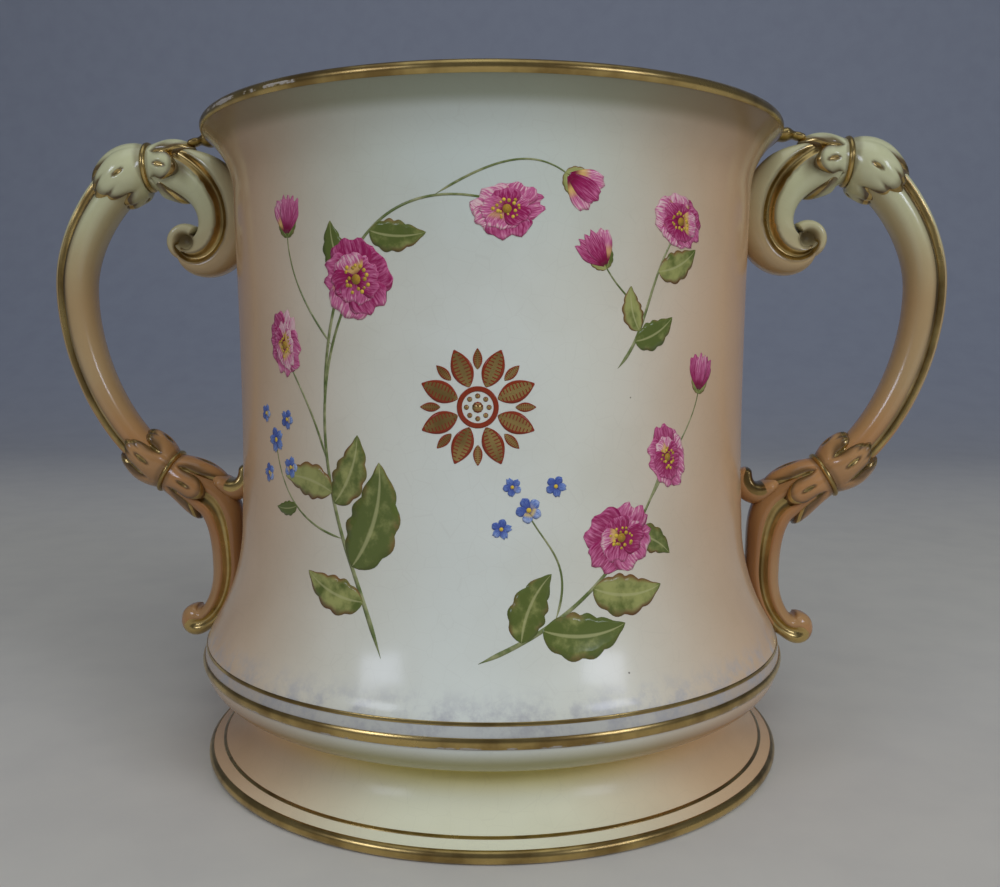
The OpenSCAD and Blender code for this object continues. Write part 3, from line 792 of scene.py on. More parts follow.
def curve_angle(points, t):
    a, b, c, d = points
    v = (1 - t) ** 2 * (b - a) + 2 * (1 - t) * t * (c - b) + t * t * (d - c)
    return math.degrees(math.atan2(v.y, v.x))


def squared(value, power):
    """Makes a round ring squarer, with a power below 1."""
    return math.copysign(abs(value) ** power, value)


# %% Places on a handle


def at(p, a, across, depth):
    """The point across a path at p that runs at angle a, in the handle's plane, at a depth to its side."""
    q = p + aim(a + 90) * across
    return Vector((q.x, depth, q.y))


LUTE = 0.02


def on_wall(point):
    """Keeps a point outside the cup, by the thickness of the slip."""
    reach = outer_r(point.z) + LUTE
    point.x = max(point.x, math.sqrt(max(0, reach ** 2 - point.y ** 2)))
    return point


def handle_piece(side, name, bm, material):
    """Makes a piece of the right handle, or of the left one as its mirror image."""
    if side == "left":
        bmesh.ops.scale(bm, vec=(-1, 1, 1), verts=bm.verts[:])
    return add_piece(f"{side}_{name}_moulded", bm, material, [f"{side}_{name}"])


# %% [markdown]
# ## Path of the bow
# The grip springs from the upper bead, swings out to its widest place and comes back to the lower bead.
# Its middle line is two cubic curves that meet at the widest place, each with the slope of its bead. A
# curve object could hold them. But knops, bar and rib all need the point and the direction at any place
# along the line, so the curves are two short functions.

# %% Path of the bow
UPPER_RING = Vector((RIM_R + 19.0, CUP_H - 7.5))
LOWER_RING = Vector((WAIST_R + 24.4, 73.6))
BOW_W, BOW_DEPTH, RIB_H, RIB_W, BOW_TAPER = 10.8, 11.4, 3.0, 5.0, 0.2
HALF_SPAN, MID_Z = 122.0, 124.0
BOW_MID = Vector((HALF_SPAN - BOW_W / 2, MID_Z))
UPPER_SLOPE, LOWER_SLOPE = 3.4, 30.6
BOW_START, BOW_END = 0.37, 1.78
upper_rise = UPPER_RING.y - BOW_MID.y
lower_fall = BOW_MID.y - LOWER_RING.y
UPPER_BOW = [UPPER_RING, UPPER_RING + aim(-UPPER_SLOPE) * upper_rise * 0.22,
             BOW_MID + Vector((0, upper_rise * 0.5)), BOW_MID]
LOWER_BOW = [BOW_MID, BOW_MID - Vector((0, lower_fall * 0.44)),
             LOWER_RING + aim(LOWER_SLOPE) * lower_fall * 0.3, LOWER_RING]


def spine(u):
    return curve(UPPER_BOW, u) if u < 1 else curve(LOWER_BOW, u - 1)


def spine_angle(u):
    return curve_angle(UPPER_BOW, u) if u < 1 else curve_angle(LOWER_BOW, u - 1)


def bow_size(u):
    return 1 + BOW_TAPER * (0.5 - (u - BOW_START) / (BOW_END - BOW_START))


print("the bow reaches", HALF_SPAN, "mm from the axis, at", MID_Z, "mm up")

# %% [markdown]
# ## Bow and rib
# The grip is a round bar with a moulded rib along its outside, and a gilt line lies in the groove between
# them. One sweep with a ribbed ring could make both, but the rib is a part of its own in the frame. So
# the bar and the rib are two sweeps along the same path, and both end inside the knops.

# %% Bow
BOW_TUCK = 0.08
BOW_STATIONS = steps(BOW_START - BOW_TUCK, BOW_END + BOW_TUCK, 72)


def bow(side):
    bm = new_shape()

    def place(u, q):
        size = bow_size(u)
        low, high = -BOW_W / 2 * size, (BOW_W / 2 - RIB_H + 0.6) * size
        c, s = squared(math.cos(q), 0.95), squared(math.sin(q), 0.92)
        across = (low + high) / 2 + (high - low) / 2 * c
        gilt = ease(c, 0.50, 0.56)
        # Darker along the crease by the rib: stain and painted shade
        stain_and_shade = bump_at(c, 0.50, 0.10) * 0.55
        blush = 0.35 * ease(-c, 0.1, 0.9)
        return at(spine(u), spine_angle(u), across, BOW_DEPTH / 2 * size * s), gilt, stain_and_shade, blush

    sweep(bm, 48, BOW_STATIONS, place)
    return handle_piece(side, "bow", bm, handle_glaze)


# %% Rib


def bow_rib(side):
    bm = new_shape()

    def place(u, q):
        size = bow_size(u)
        low, high = (BOW_W / 2 - RIB_H - 0.4) * size, BOW_W / 2 * size - 0.06
        c, s = squared(math.cos(q), 0.75), squared(math.sin(q), 0.75)
        across = (low + high) / 2 + (high - low) / 2 * c
        wave = 1 + 0.02 * math.sin(31 * u)
        gilt = ease(-c, -0.50, -0.25)
        return at(spine(u), spine_angle(u), across, RIB_W / 2 * size * wave * s), gilt, 0.0, 0.15

    sweep(bm, 32, BOW_STATIONS, place)
    return handle_piece(side, "bow_rib", bm, handle_glaze)


# %% [markdown]
# ## Leaf knops
# Each end of the bow comes out of a knop of four leaves, and a gilt bead parts it from a second knop
# towards the cup. The leaves could be modelled one by one, but then they would have to be joined. Here a
# knop is one sweep whose stations run further along the leaves than between them, so its far edge is
# scalloped. The leaves swell, valleys part them, and gold lies in the valleys, along the tips and in a
# slot on each leaf.

# %% Knop sweep
LEAF_TURN = math.pi / 2
KNOP_CORNERS, KNOP_STEPS = 128, 52


def leaf_knop(side, name, path, angle, half_w, half_d, valley_end, tips, slit,
              split=0.05, narrow=0.24, frill=0.0, blush=0.0):
    """half_w(t), half_d(t): half sizes along the path. tips: reach of the leaves in the plane (+), beside it
    and in the plane (-), as the valleys between them reach valley_end. slit: place, length and width of the
    gilt slot. split: where the valleys begin. narrow: how much narrower the leaves beside are. frill: depth
    of small scallops. blush: how tan the leaves are."""
    bm = new_shape()
    reach = (tips[0], tips[1], tips[2], tips[1])

    def place(s, q):
        warped = q - narrow * math.sin(2 * q)
        number = round(warped / LEAF_TURN)
        off = warped - number * LEAF_TURN
        lobe = max(0, math.cos(2 * off))
        scallop = 1 - abs(math.cos(6 * off))
        t = s * (lerp(valley_end, reach[number % 4], lobe ** 0.75) - frill * scallop)
        grown = ease(s, split, split + 0.45)
        valley = (1 - lobe ** 0.5) * grown
        groove = bump_at(abs(off), LEAF_TURN / 2, 0.13) * grown
        flute = scallop ** 1.6 * ease(s, 0.50, 0.95) * (1 if frill else 0)
        fold = max(0, (s - 0.82) / 0.18)
        cut = bump_at(s, slit[0], slit[1]) * bump_at(off, 0, slit[2])
        swell = 0.55 * math.sin(math.pi * min(1, s * 1.05)) * lobe ** 0.7
        lift = swell - 1.05 * valley - 0.55 * groove - 0.5 * flute - 0.75 * cut
        lift -= 1.5 * (1 - math.sqrt(max(0, 1 - fold ** 2)))
        wide, deep = half_w(t) + lift, half_d(t) + lift
        point = at(path(t), angle(t), wide * math.cos(q), deep * math.sin(q))
        edge = bump_at(s, 0.93, 0.04)
        gilt = min(1, edge + 0.95 * ease(groove, 0.40, 0.75) + ease(cut, 0.35, 0.6))
        # Stain and painted shade in the valleys, slots and flutes, at the leaf ends and near the bead
        stain_and_shade = 0.9 * ease(valley, 0.05, 0.4) + 0.9 * ease(s, 0.94, 0.99) + 0.9 * ease(cut, 0.08, 0.3)
        stain_and_shade += 0.9 * ease(flute, 0.25, 0.8) + 0.7 * bump_at(s, 0.885, 0.07)
        stain_and_shade = min(1, stain_and_shade + 0.5 * (1 - ease(s, 0.06, 0.16)))
        return point, gilt, stain_and_shade, blush

    sweep(bm, KNOP_CORNERS, steps(0, 1, KNOP_STEPS), place)
    return handle_piece(side, name, bm, handle_glaze)


# %% [markdown]
# ## Outer knops
# The knops on the bow's side follow the bow's own line. The upper one is full and frilled like an opening
# bud, and its leaves part only near their tips. The lower one is slimmer and tan, and its leaves part
# earlier. Two models could be made, but all the leaves share one pattern, so both knops are the same
# sweep with other sizes.

# %% Outer knops
RING_T, UPPER_RING_R, LOWER_RING_R = 1.2, 6.0, 5.9
UPPER_ROOT = UPPER_RING - aim(-UPPER_SLOPE) * RING_T
LOWER_ROOT = LOWER_RING - aim(LOWER_SLOPE) * RING_T


def upper_outer_knop(side):
    def bulge(u):
        return math.sin(math.pi * min(1, u / 0.5)) ** 0.8

    return leaf_knop(side, "upper_outer_knop", spine, spine_angle,
                     lambda u: UPPER_RING_R + 1.9 * bulge(u), lambda u: UPPER_RING_R + 1.8 * bulge(u),
                     0.355, (0.43, 0.465, 0.40), (0.46, 0.10, 0.055),
                     split=0.5, narrow=-0.08, frill=0.018)


def lower_outer_knop(side):
    def along(t):
        return spine(2 - t)

    def heading(t):
        return spine_angle(2 - t)

    def bulge(t):
        return math.sin(math.pi * min(1, t / 0.3))

    return leaf_knop(side, "lower_outer_knop", along, heading,
                     lambda t: LOWER_RING_R + 1.2 * bulge(t),
                     lambda t: LOWER_RING_R + 1.1 * bulge(t) + 0.3 * ease(t, 0.1, 0.25),
                     0.18, (0.26, 0.28, 0.25), (0.5, 0.15, 0.09),
                     split=0.22, narrow=0.12, frill=0.008, blush=0.4)


# %% [markdown]
# ## Upper bracket
# The bracket springs from the wall below the lip and rolls up into a volute with a hollow eye. It could
# be cut from a plate by its outline, but then its edges would be sharp. So it is a sweep too: its
# stations are angles about the eye, and its inner and outer radius shrink as the angle grows. A gilt
# groove follows the roll, a dished plug closes the eye, and the inner knop wraps the root.

# %% Spiral of the bracket
VOLUTE = Vector((RIM_R + 8.4, CUP_H - 28.0))
VOLUTE_R, EYE_R = 5.2, 1.8
SCROLL_START, SCROLL_END, VOLUTE_START = 78.0, 488.0, 294.0
SCROLL_OUTER, SCROLL_INNER, INNER_TURN = 28.5, 13.5, 90.0
outer_fall = (SCROLL_OUTER - VOLUTE_R) / (VOLUTE_START - SCROLL_START)


def scroll_outer(f):
    return max(VOLUTE_R, SCROLL_OUTER - outer_fall * (f - SCROLL_START))


def scroll_inner(f):
    return max(EYE_R, SCROLL_INNER * (1 - (f - SCROLL_START) / INNER_TURN))


def groove_r(f):
    """Distance of the gilt groove from the eye, falling as a spiral."""
    return max(EYE_R - 0.4, 21.2 * math.exp(-0.0099 * (f - 98)))


# %% Bracket and its eye


def upper_scroll(side):
    bm = new_shape()

    def place(f, q):
        inner, outer = scroll_inner(f), scroll_outer(f) - 2.0 * (1 - ease(f, 82, 120))
        c, s = squared(math.cos(q), 0.9), squared(math.sin(q), 0.62)
        t = (1 + c) / 2
        radius = lerp(inner, outer, t)
        fade = 1 - ease(f, 330, 385)
        width = lerp(1.45, 0.75, ease(f, 210, 300)) / (outer - inner)
        groove = bump_at(t, (groove_r(f) - inner) / (outer - inner), width) * fade
        depth = lerp(5.2, 6.2, ease(f, 86, 116)) * lerp(1, 0.76, ease(f, 120, 300)) * (1 - 0.34 * groove)
        p = VOLUTE + aim(f) * radius
        gilt = ease(groove, 0.13, 0.38)
        blush = ease(radius, groove_r(f) - 0.5, groove_r(f) + 1.5) * lerp(0.25, 1, ease(f, 95, 185))
        blush *= 1 - ease(f, 285, 345)
        # Stain and painted shade round the eye, along the groove's edges and in a pocket near the root
        stain_and_shade = max(0.7 * bump_at(radius, EYE_R, 0.8) * ease(f, 150, 220), 0.6 * ease(groove, 0.03, 0.12))
        stain_and_shade = max(stain_and_shade, 0.9 * bump_at(f, 91, 7) * bump_at(t, 0.62, 0.24))
        return on_wall(Vector((p.x, depth * s, p.y))), gilt, stain_and_shade, blush

    sweep(bm, 88, steps(SCROLL_START - 13, SCROLL_END, 124), place)

    def plug(station, q):
        r, y = station
        p = VOLUTE + Vector((math.cos(q), math.sin(q))) * r
        # Painted shade in the eye, darker at its top, where the roll keeps the light out
        shade = lerp(0.2, 0.85, (1 + math.sin(q)) / 2)
        return Vector((p.x, y, p.y)), 0.0, shade * lerp(0.75, 1, min(1, r / EYE_R)), 0.0

    dish = [(0.2, -0.4), (0.9, -0.6), (1.5, -1.3), (EYE_R + 0.2, -2.4), (EYE_R + 0.9, -3.8)]
    sweep(bm, 24, dish + [(r, -y) for r, y in reversed(dish)], plug)
    return handle_piece(side, "upper_scroll", bm, handle_glaze)


# %% Upper inner knop


def scroll_middle(f):
    return VOLUTE + aim(f) * (scroll_inner(f) + scroll_outer(f)) / 2


SHEATH = [UPPER_ROOT, UPPER_ROOT - Vector((4.0, -0.1)),
          scroll_middle(80) + Vector((1.0, 0.1)), scroll_middle(103)]


def upper_inner_knop(side):
    return leaf_knop(side, "upper_inner_knop", lambda t: curve(SHEATH, t), lambda t: curve_angle(SHEATH, t),
                     lambda t: lerp(UPPER_RING_R, 8.1, ease(t, 0.0, 0.7)),
                     lambda t: UPPER_RING_R + 1.2 * ease(t, 0, 0.5),
                     0.44, (1.0, 0.80, 0.86), (0.52, 0.19, 0.10), narrow=0.10)


# %% [markdown]
# ## Lower leg and hook
# From the lower knop a leg runs down the wall and ends in a round curl over the flange, and a small hook
# turns up against the wall. Both start side by side at one root. They could be bent from straight bars,
# but a bar folds where it bends sharply. Swept along cubic curves they stay round, and every corner is
# kept outside the wall.

# %% Path of the leg
LEG_ANGLE = 215.0
LEG_TOP_T, LEG_WAIST_T, LEG_LOW_T, HOOK_T, CURL_R, LEG_DEPTH = 9.0, 9.0, 6.6, 4.0, 4.5, 11.0
LEG_ROOT = Vector((WAIST_R + 11.8, 66.8))
leg_root_r = (LEG_TOP_T + HOOK_T) / 2
LEG_START = LEG_ROOT - aim(LEG_ANGLE - 90) * (leg_root_r - LEG_TOP_T / 2)
HOOK_START = LEG_ROOT + aim(LEG_ANGLE - 90) * (leg_root_r - HOOK_T / 2)
LEG_WAIST = Vector((outer_r(47.0) + LEG_WAIST_T / 2, 47.0))
LEG_TIP = Vector((FLANGE_EDGE_R + CURL_R + 1.65, FLANGE_Z + 3.5))
LEG_UPPER = [LEG_START, LEG_START + aim(LEG_ANGLE) * 5.0, LEG_WAIST + Vector((0, 6.6)), LEG_WAIST]
LEG_LOWER = [LEG_WAIST, LEG_WAIST - Vector((0, (LEG_WAIST.y - LEG_TIP.y) * 0.6)),
             LEG_TIP - Vector((CURL_R, 0.8)), LEG_TIP]


def leg_point(u):
    return curve(LEG_UPPER, u) if u < 1 else curve(LEG_LOWER, u - 1)


def leg_heading(u):
    return curve_angle(LEG_UPPER, u) if u < 1 else curve_angle(LEG_LOWER, u - 1)


def leg_half(u):
    if u < 1:
        return lerp(LEG_TOP_T, LEG_WAIST_T, u) / 2
    if u < 1.75:
        return lerp(LEG_WAIST_T, LEG_LOW_T, (u - 1) / 0.75) / 2
    return lerp(LEG_LOW_T / 2, CURL_R, ease(u, 1.75, 2.0))


# %% Lower leg


def lower_scroll(side):
    bm = new_shape()

    def place(u, q):
        c, s = squared(math.cos(q), 0.9), squared(math.sin(q), 0.66)
        stem = min(u, 2.0)
        cap = math.sqrt(max(0.0004, 1 - max(0, u - 2.0) ** 2))
        half = leg_half(max(0, stem)) * cap * lerp(1, 0.8, min(1, max(0, -u)))
        if c < 0:
            half += 2.4 * (1 - ease(u, 0.0, 0.9))
        heading = leg_heading(max(0, stem))
        p = leg_point(max(0, stem)) + aim(heading) * (CURL_R * max(0, u - 2.0) + 9 * min(0, u))
        groove = bump_at(c, -0.10, 0.28) * (1 - ease(u, 1.98, 2.3))
        depth = LEG_DEPTH / 2 * lerp(1, 0.82, ease(u, 1.4, 2.0)) * cap * (1 - 0.30 * groove)
        drop = math.hypot((c + 0.45) / 0.8, (u - 2.05) / 0.6)
        gilt = max(ease(groove, 0.30, 0.6), 1 - ease(drop, 0.6, 1.0))
        blush = 0.55 * ease(c, 0.0, 0.5) * ease(u, 0.3, 1.0)
        # The value after the gilt is stain and painted shade on the side towards the wall
        return on_wall(at(p, heading, half * c, depth * s)), gilt, 0.42 * ease(-c, 0.15, 0.9), blush

    caps = [2 + math.sin(math.radians(a)) for a in (15, 30, 45, 60, 75, 86)]
    sweep(bm, 64, steps(-0.9, 2.0, 90) + caps, place)
    return handle_piece(side, "lower_scroll", bm, handle_glaze)


# %% Lower hook


def lower_hook(side):
    tip = Vector((outer_r(74.0) + HOOK_T * 0.6, 74.0))
    path = [HOOK_START, HOOK_START + aim(LEG_ANGLE) * HOOK_T * 0.9, tip - Vector((0, HOOK_T * 1.2)), tip]
    bm = new_shape()

    def place(t, q):
        stem = min(t, 1.0)
        cap = math.sqrt(max(0.0004, 1 - max(0, (t - 1.0) / 0.12) ** 2))
        half = HOOK_T / 2 * lerp(1, 0.8, max(0, stem)) * cap * ease(t, -0.6, 0.1)
        c, s = squared(math.cos(q), 0.9), squared(math.sin(q), 0.8)
        if c > 0:
            half += 2.6 * ease(t, 0.0, 0.45) * (1 - ease(t, 0.85, 1.12))
        depth = LEG_DEPTH / 2 * lerp(1, 0.66, max(0, stem)) * cap * ease(t, -0.6, 0.1)
        p = curve(path, stem) + aim(curve_angle(path, stem)) * HOOK_T * 0.35 * max(0, t - 1.0) / 0.12
        gilt = ease(-c, -0.42, -0.25) * ease(t, 0.1, 0.3)
        return on_wall(at(p, curve_angle(path, stem), half * c, depth * s)), gilt, 0.0, 0.2

    sweep(bm, 40, steps(-0.25, 1.0, 26) + [1.03, 1.06, 1.09, 1.11], place)
    return handle_piece(side, "lower_hook", bm, handle_glaze)


# %% Lower inner knop
LEG_SHEATH = [LOWER_ROOT, LOWER_ROOT - aim(LOWER_SLOPE) * 4.5,
              LEG_ROOT + Vector((1.5, 2.0)), LEG_ROOT + Vector((-1.6, -4.6))]


def lower_inner_knop(side):
    return leaf_knop(side, "lower_inner_knop",
                     lambda t: curve(LEG_SHEATH, t), lambda t: curve_angle(LEG_SHEATH, t),
                     lambda t: LOWER_RING_R + 1.6 * ease(t, 0.0, 0.7),
                     lambda t: LOWER_RING_R + 0.9 * ease(t, 0, 0.5),
                     0.46, (1.0, 0.74, 0.86), (0.5, 0.15, 0.09), narrow=0.14, blush=0.15)


# %% [markdown]
# ## Beads and lugs
# A gilt bead lies between each two knops, and a gilt nib bridges the bracket and the lip. A torus could
# stand in for the bead, but it would have to be turned into place. A small circle that is spun about the
# handle's own direction is made where it belongs. The nib is a short sweep with a knuckle and a rounded
# end.

# %% Beads
BEAD_FAT = 0.12


def bead(side, name, root, angle, radius):
    """A gilt bead round the handle, spun about the handle's own direction."""
    bm = bmesh.new()
    way = aim(angle)
    across = aim(angle + 90)
    middle = root + way * RING_T / 2
    start = middle + across * radius
    bmesh.ops.create_circle(bm, segments=14, radius=RING_T / 2 + BEAD_FAT)
    for v in bm.verts:
        p = start + way * v.co.x + across * v.co.y
        v.co = (p.x, 0, p.y)
    bmesh.ops.spin(bm, geom=bm.verts[:] + bm.edges[:], cent=(middle.x, 0, middle.y), axis=(way.x, 0, way.y),
                   angle=math.tau, steps=64, use_merge=True)
    return handle_piece(side, name, bm, gilding)


# %% Lugs
LUG_TIP = Vector((83.6, 163.6))


def rim_lug(side):
    bm = new_shape()
    lip = Vector((RIM_R + 0.05, CUP_H - 0.4))
    heading = math.degrees(math.atan2(LUG_TIP.y - lip.y, LUG_TIP.x - lip.x))

    def place(t, q):
        cap = math.sqrt(max(0.02, 1 - max(0, (t - 0.9) / 0.1) ** 2))
        knuckle = 1 + 0.25 * bump_at(t, 0.3, 0.16) - 0.2 * bump_at(t, 0.58, 0.12)
        half = lerp(1.7, 1.0, t) * cap * knuckle
        depth = lerp(3.3, 2.2, t) * cap * knuckle
        p = lerp(lip, LUG_TIP, t) + Vector((0, 0.5 * math.sin(math.pi * t)))
        return on_wall(at(p, heading, half * math.cos(q), depth * math.sin(q))), 1.0, 0.0, 0.0

    sweep(bm, 32, steps(0, 0.9, 22) + [0.93, 0.96, 0.985, 0.998], place)
    return handle_piece(side, "rim_lug", bm, gilding)


# %% [markdown]
# ## Both handles
# A handle is alike on both its faces, so the left one is the right one mirrored. A Mirror modifier would
# fuse both sides into one mesh. Every piece has to stay its own, so each maker runs once for each side.

# %% Both handles
for side_name in ("right", "left"):
    for maker in (bow, bow_rib, upper_outer_knop, lower_outer_knop, upper_scroll, upper_inner_knop,
                  lower_scroll, lower_hook, lower_inner_knop, rim_lug):
        maker(side_name)
    bead(side_name, "upper_ring", UPPER_ROOT, -UPPER_SLOPE, UPPER_RING_R)
    bead(side_name, "lower_ring", LOWER_ROOT, LOWER_SLOPE, LOWER_RING_R)

# %% [markdown]
# ## Enamel colours
# After the glaze firing the flowers were laid on the wall in enamel, touch by touch, and the cup was
# fired again. A painted picture could be wrapped round the wall. Here each touch of the brush is a patch
# of its own, and its corners know how far along and across the patch they lie. The enamels read that, so
# streaks, veins and darker edges follow each petal and each leaf.

# %% Petal enamels
YOLK = tone(0.80, 0.56, 0.12)


def petal_colours(name, deep, light, white, heart):
    """Enamel for petals: streaks along the petal, pale touches, a dark heart and a darker edge."""
    made, t, shader, where = new_material(name)
    along, across, tint = attribute(t, "along"), attribute(t, "across"), attribute(t, "tint")
    streak_at = put(t, "ShaderNodeCombineXYZ")
    feed(t, times(t, across, 5.0), streak_at.inputs[0])
    feed(t, times(t, along, 1.3), streak_at.inputs[1])
    feed(t, times(t, tint, 40.0), streak_at.inputs[2])
    streaks = noise(t, streak_at.outputs[0], 2.2, 4)
    level = plus(t, streaks, times(t, calc(t, "SUBTRACT", along, 0.5), 0.30))
    level = plus(t, level, times(t, calc(t, "SUBTRACT", tint, 0.5), 0.34))
    colour = blend(t, soft_step(t, level, 0.34, 0.74), deep, light)
    colour = blend(t, times(t, soft_step(t, level, 0.66, 0.86), 0.8), colour, white)
    rim = soft_step(t, calc(t, "ABSOLUTE", across), 0.74, 1.0)
    rim = calc(t, "MAXIMUM", rim, soft_step(t, along, 0.88, 1.0))
    colour = blend(t, times(t, rim, 0.28), colour, deep)
    flush = times(t, soft_step(t, tint, 0.70, 0.85), soft_step(t, along, 0.62, 0.34))
    colour = blend(t, times(t, flush, 0.75), colour, YOLK)
    colour = blend(t, soft_step(t, along, 0.34, 0.10), colour, heart)
    glazed(t, shader, colour, specks=0.0)
    return made


rose_paint = petal_colours("rose_enamel", tone(0.33, 0.016, 0.10), tone(0.66, 0.17, 0.34),
                           tone(0.88, 0.66, 0.62), tone(0.22, 0.008, 0.05))
blue_paint = petal_colours("blue_enamel", tone(0.06, 0.10, 0.36), tone(0.20, 0.30, 0.62),
                           tone(0.60, 0.66, 0.80), tone(0.05, 0.06, 0.22))

# %% Leaf and stem enamels
LEAF_DARK, LEAF_PALE = tone(0.12, 0.15, 0.035), tone(0.38, 0.38, 0.13)
LEAF_VEIN, LEAF_EDGE = tone(0.50, 0.48, 0.22), tone(0.20, 0.09, 0.03)
STEM_DARK, STEM_PALE = tone(0.13, 0.17, 0.05), tone(0.36, 0.36, 0.18)

leaf_paint, t, shader, where = new_material("leaf_enamel")
across, tint = calc(t, "ABSOLUTE", attribute(t, "across")), attribute(t, "tint")
patchy = plus(t, noise(t, where, 260, 4), times(t, calc(t, "SUBTRACT", tint, 0.5), 0.4))
green = blend(t, soft_step(t, patchy, 0.35, 0.7), LEAF_DARK, LEAF_PALE)
green = blend(t, times(t, soft_step(t, across, 0.12, 0.04), 0.6), green, LEAF_VEIN)
singed = times(t, soft_step(t, across, 0.62, 1.0), soft_step(t, patchy, 0.30, 0.62))
green = blend(t, singed, green, LEAF_EDGE)
glazed(t, shader, green, specks=0.0)

stem_paint, t, shader, where = new_material("stem_enamel")
fibre = noise(t, where, 300, 3)
stalk = blend(t, soft_step(t, fibre, 0.35, 0.7), STEM_DARK, STEM_PALE)
glazed(t, shader, stalk, specks=0.0)

# %% Stamen and ornament enamels
POLLEN_DARK, POLLEN_PALE = tone(0.33, 0.15, 0.02), tone(0.84, 0.58, 0.07)
IRON_RED = tone(0.27, 0.035, 0.012)

stamen_paint, t, shader, where = new_material("stamen_enamel")
pollen = blend(t, attribute(t, "tint"), POLLEN_DARK, POLLEN_PALE)
glazed(t, shader, pollen, specks=0.0)

ornament_paint, t, shader, where = new_material("ornament_enamel")
across, along = calc(t, "ABSOLUTE", attribute(t, "across")), attribute(t, "along")
outline = calc(t, "MAXIMUM", soft_step(t, across, 0.66, 0.74), soft_step(t, along, 0.90, 0.93))
hatch = soft_step(t, calc(t, "SINE", times(t, along, 70.0)), 0.35, 0.6)
hatch = times(t, hatch, soft_step(t, across, 0.1, 0.3))
leafed = calc(t, "SUBTRACT", 1.0, calc(t, "MAXIMUM", outline, hatch), clamp=True)
leafed = times(t, leafed, attribute(t, "tint"))
glazed(t, shader, IRON_RED, specks=0.0, gilt=leafed, wear=0.06)
print("enamels:", [m.name for m in bpy.data.materials if m.name.endswith("enamel")])

# %% [markdown]
# ## Patches of paint
# A touch of enamel is a thin raised film. Projecting a flat sheet onto the wall would stretch it, so each
# touch is a small grid or disc whose corners are set one by one: so far round the wall, so far up, and a
# few hundredths of a millimetre off the glaze. Later touches lie a little higher, so that no two share a
# place.

# %% Patches of paint
PAINT_LAYERS = ("along", "across", "tint")
WALL_R = 67.6
LAYER_STEP = 0.009
dice = random.Random(11)


def on_cup(u, z, lift):
    """The point u mm round the wall from the front, and z mm up."""
    r, a = outer_r(z) + lift, u / WALL_R
    return Vector((r * math.sin(a), -r * math.cos(a), z))


def spot(degrees, z):
    """A place on the wall, as mm round it and up, from an angle to the camera's line."""
    return Vector((WALL_R * (math.radians(degrees) + CAMERA_TURN), z))


def lay(bm, corners, shape, lift, tint):
    """Moves flat corners onto the wall. shape(along, across) gives a place, with along from 0 to 1
    and across from -1 to 1."""
    layers = [bm.verts.layers.float[name] for name in PAINT_LAYERS]
    for v in corners:
        values = ((v.co.x + 1) / 2, v.co.y, tint)
        for layer, value in zip(layers, values):
            v[layer] = value
        v.co = on_cup(*shape(values[0], values[1]), lift)


def stroke(bm, columns, rows, shape, lift, tint):
    grid = bmesh.ops.create_grid(bm, x_segments=columns, y_segments=rows, size=1)
    lay(bm, grid["verts"], shape, lift, tint)


def dot(bm, centre, radius, lift, tint):
    def shape(along, across):
        return centre + Vector((2 * along - 1, across)) * radius

    disc = bmesh.ops.create_circle(bm, cap_ends=True, segments=10, radius=1)
    lay(bm, disc["verts"], shape, lift, tint)


# %% Petals


def petal(bm, centre, turn, length, width, lift, tint, lean=(0.0, 1.0), cells=9):
    """A notched petal from the centre outwards. lean: the direction and the share of a foreshortening."""
    ahead, beside, away = aim(turn), aim(turn + 90), aim(lean[0])

    def shape(a, b):
        half = width / 2 * math.sin(math.pi * (0.06 + 0.62 * a)) ** 0.8
        reach = length * a * (1 - 0.28 * b * b * a - 0.11 * bump_at(b, 0, 0.3) * a)
        ruffle = 0.06 * length * math.sin(7 * b + 9 * tint) * a * a
        p = ahead * (reach + ruffle) + beside * half * b
        return centre + p - away * p.dot(away) * (1 - lean[1])

    stroke(bm, cells, cells, shape, lift, tint)


# %% [markdown]
# ## Flowers, leaves and stems
# The sprays are double wild roses with buds, leaves and small blue flowers. One flower could be copied
# about, but a painter never makes the same one twice. So each is drawn anew: a rose has two rings of five
# notched petals and a ring of stamens, and a leaf is toothed along an arc. Seeded dice vary sizes and
# tints, so each run gives the same flowers.

# %% Roses
roses, blues, leaves, stems, stamens, ornament = [new_shape(PAINT_LAYERS) for _ in range(6)]
FIRST_LIFT = 0.06
PETALS, STAMENS = 5, 17
PETAL_TURN = 360 / PETALS


def rose(place, size, turn, lean, mood=0.0):
    """Five broad petals under five smaller ones, with a ring of stamens. lean: see petal.
    mood: paler above 0, deeper below."""
    for ring, (reach, width) in enumerate(((0.5, 0.56), (0.34, 0.38))):
        for k in range(PETALS):
            petal(roses, place, turn + PETAL_TURN * (k + ring / 2) + dice.uniform(-12, 12),
                  size * reach * dice.uniform(0.86, 1.1), size * width * dice.uniform(0.9, 1.12),
                  FIRST_LIFT + LAYER_STEP * (k + PETALS * ring), dice.random() + mood, lean)
    top = FIRST_LIFT + LAYER_STEP * (2 * PETALS + 1)
    away = aim(lean[0])
    dot(stamens, place, size * 0.055, top, 0.25)
    for k in range(STAMENS):
        p = aim(360 / STAMENS * k + dice.uniform(-8, 8)) * size * dice.uniform(0.08, 0.17)
        p -= away * p.dot(away) * (1 - lean[1])
        dot(stamens, place + p, size * dice.uniform(0.013, 0.024), top + LAYER_STEP, dice.uniform(0.3, 1))


# %% Leaves and stems


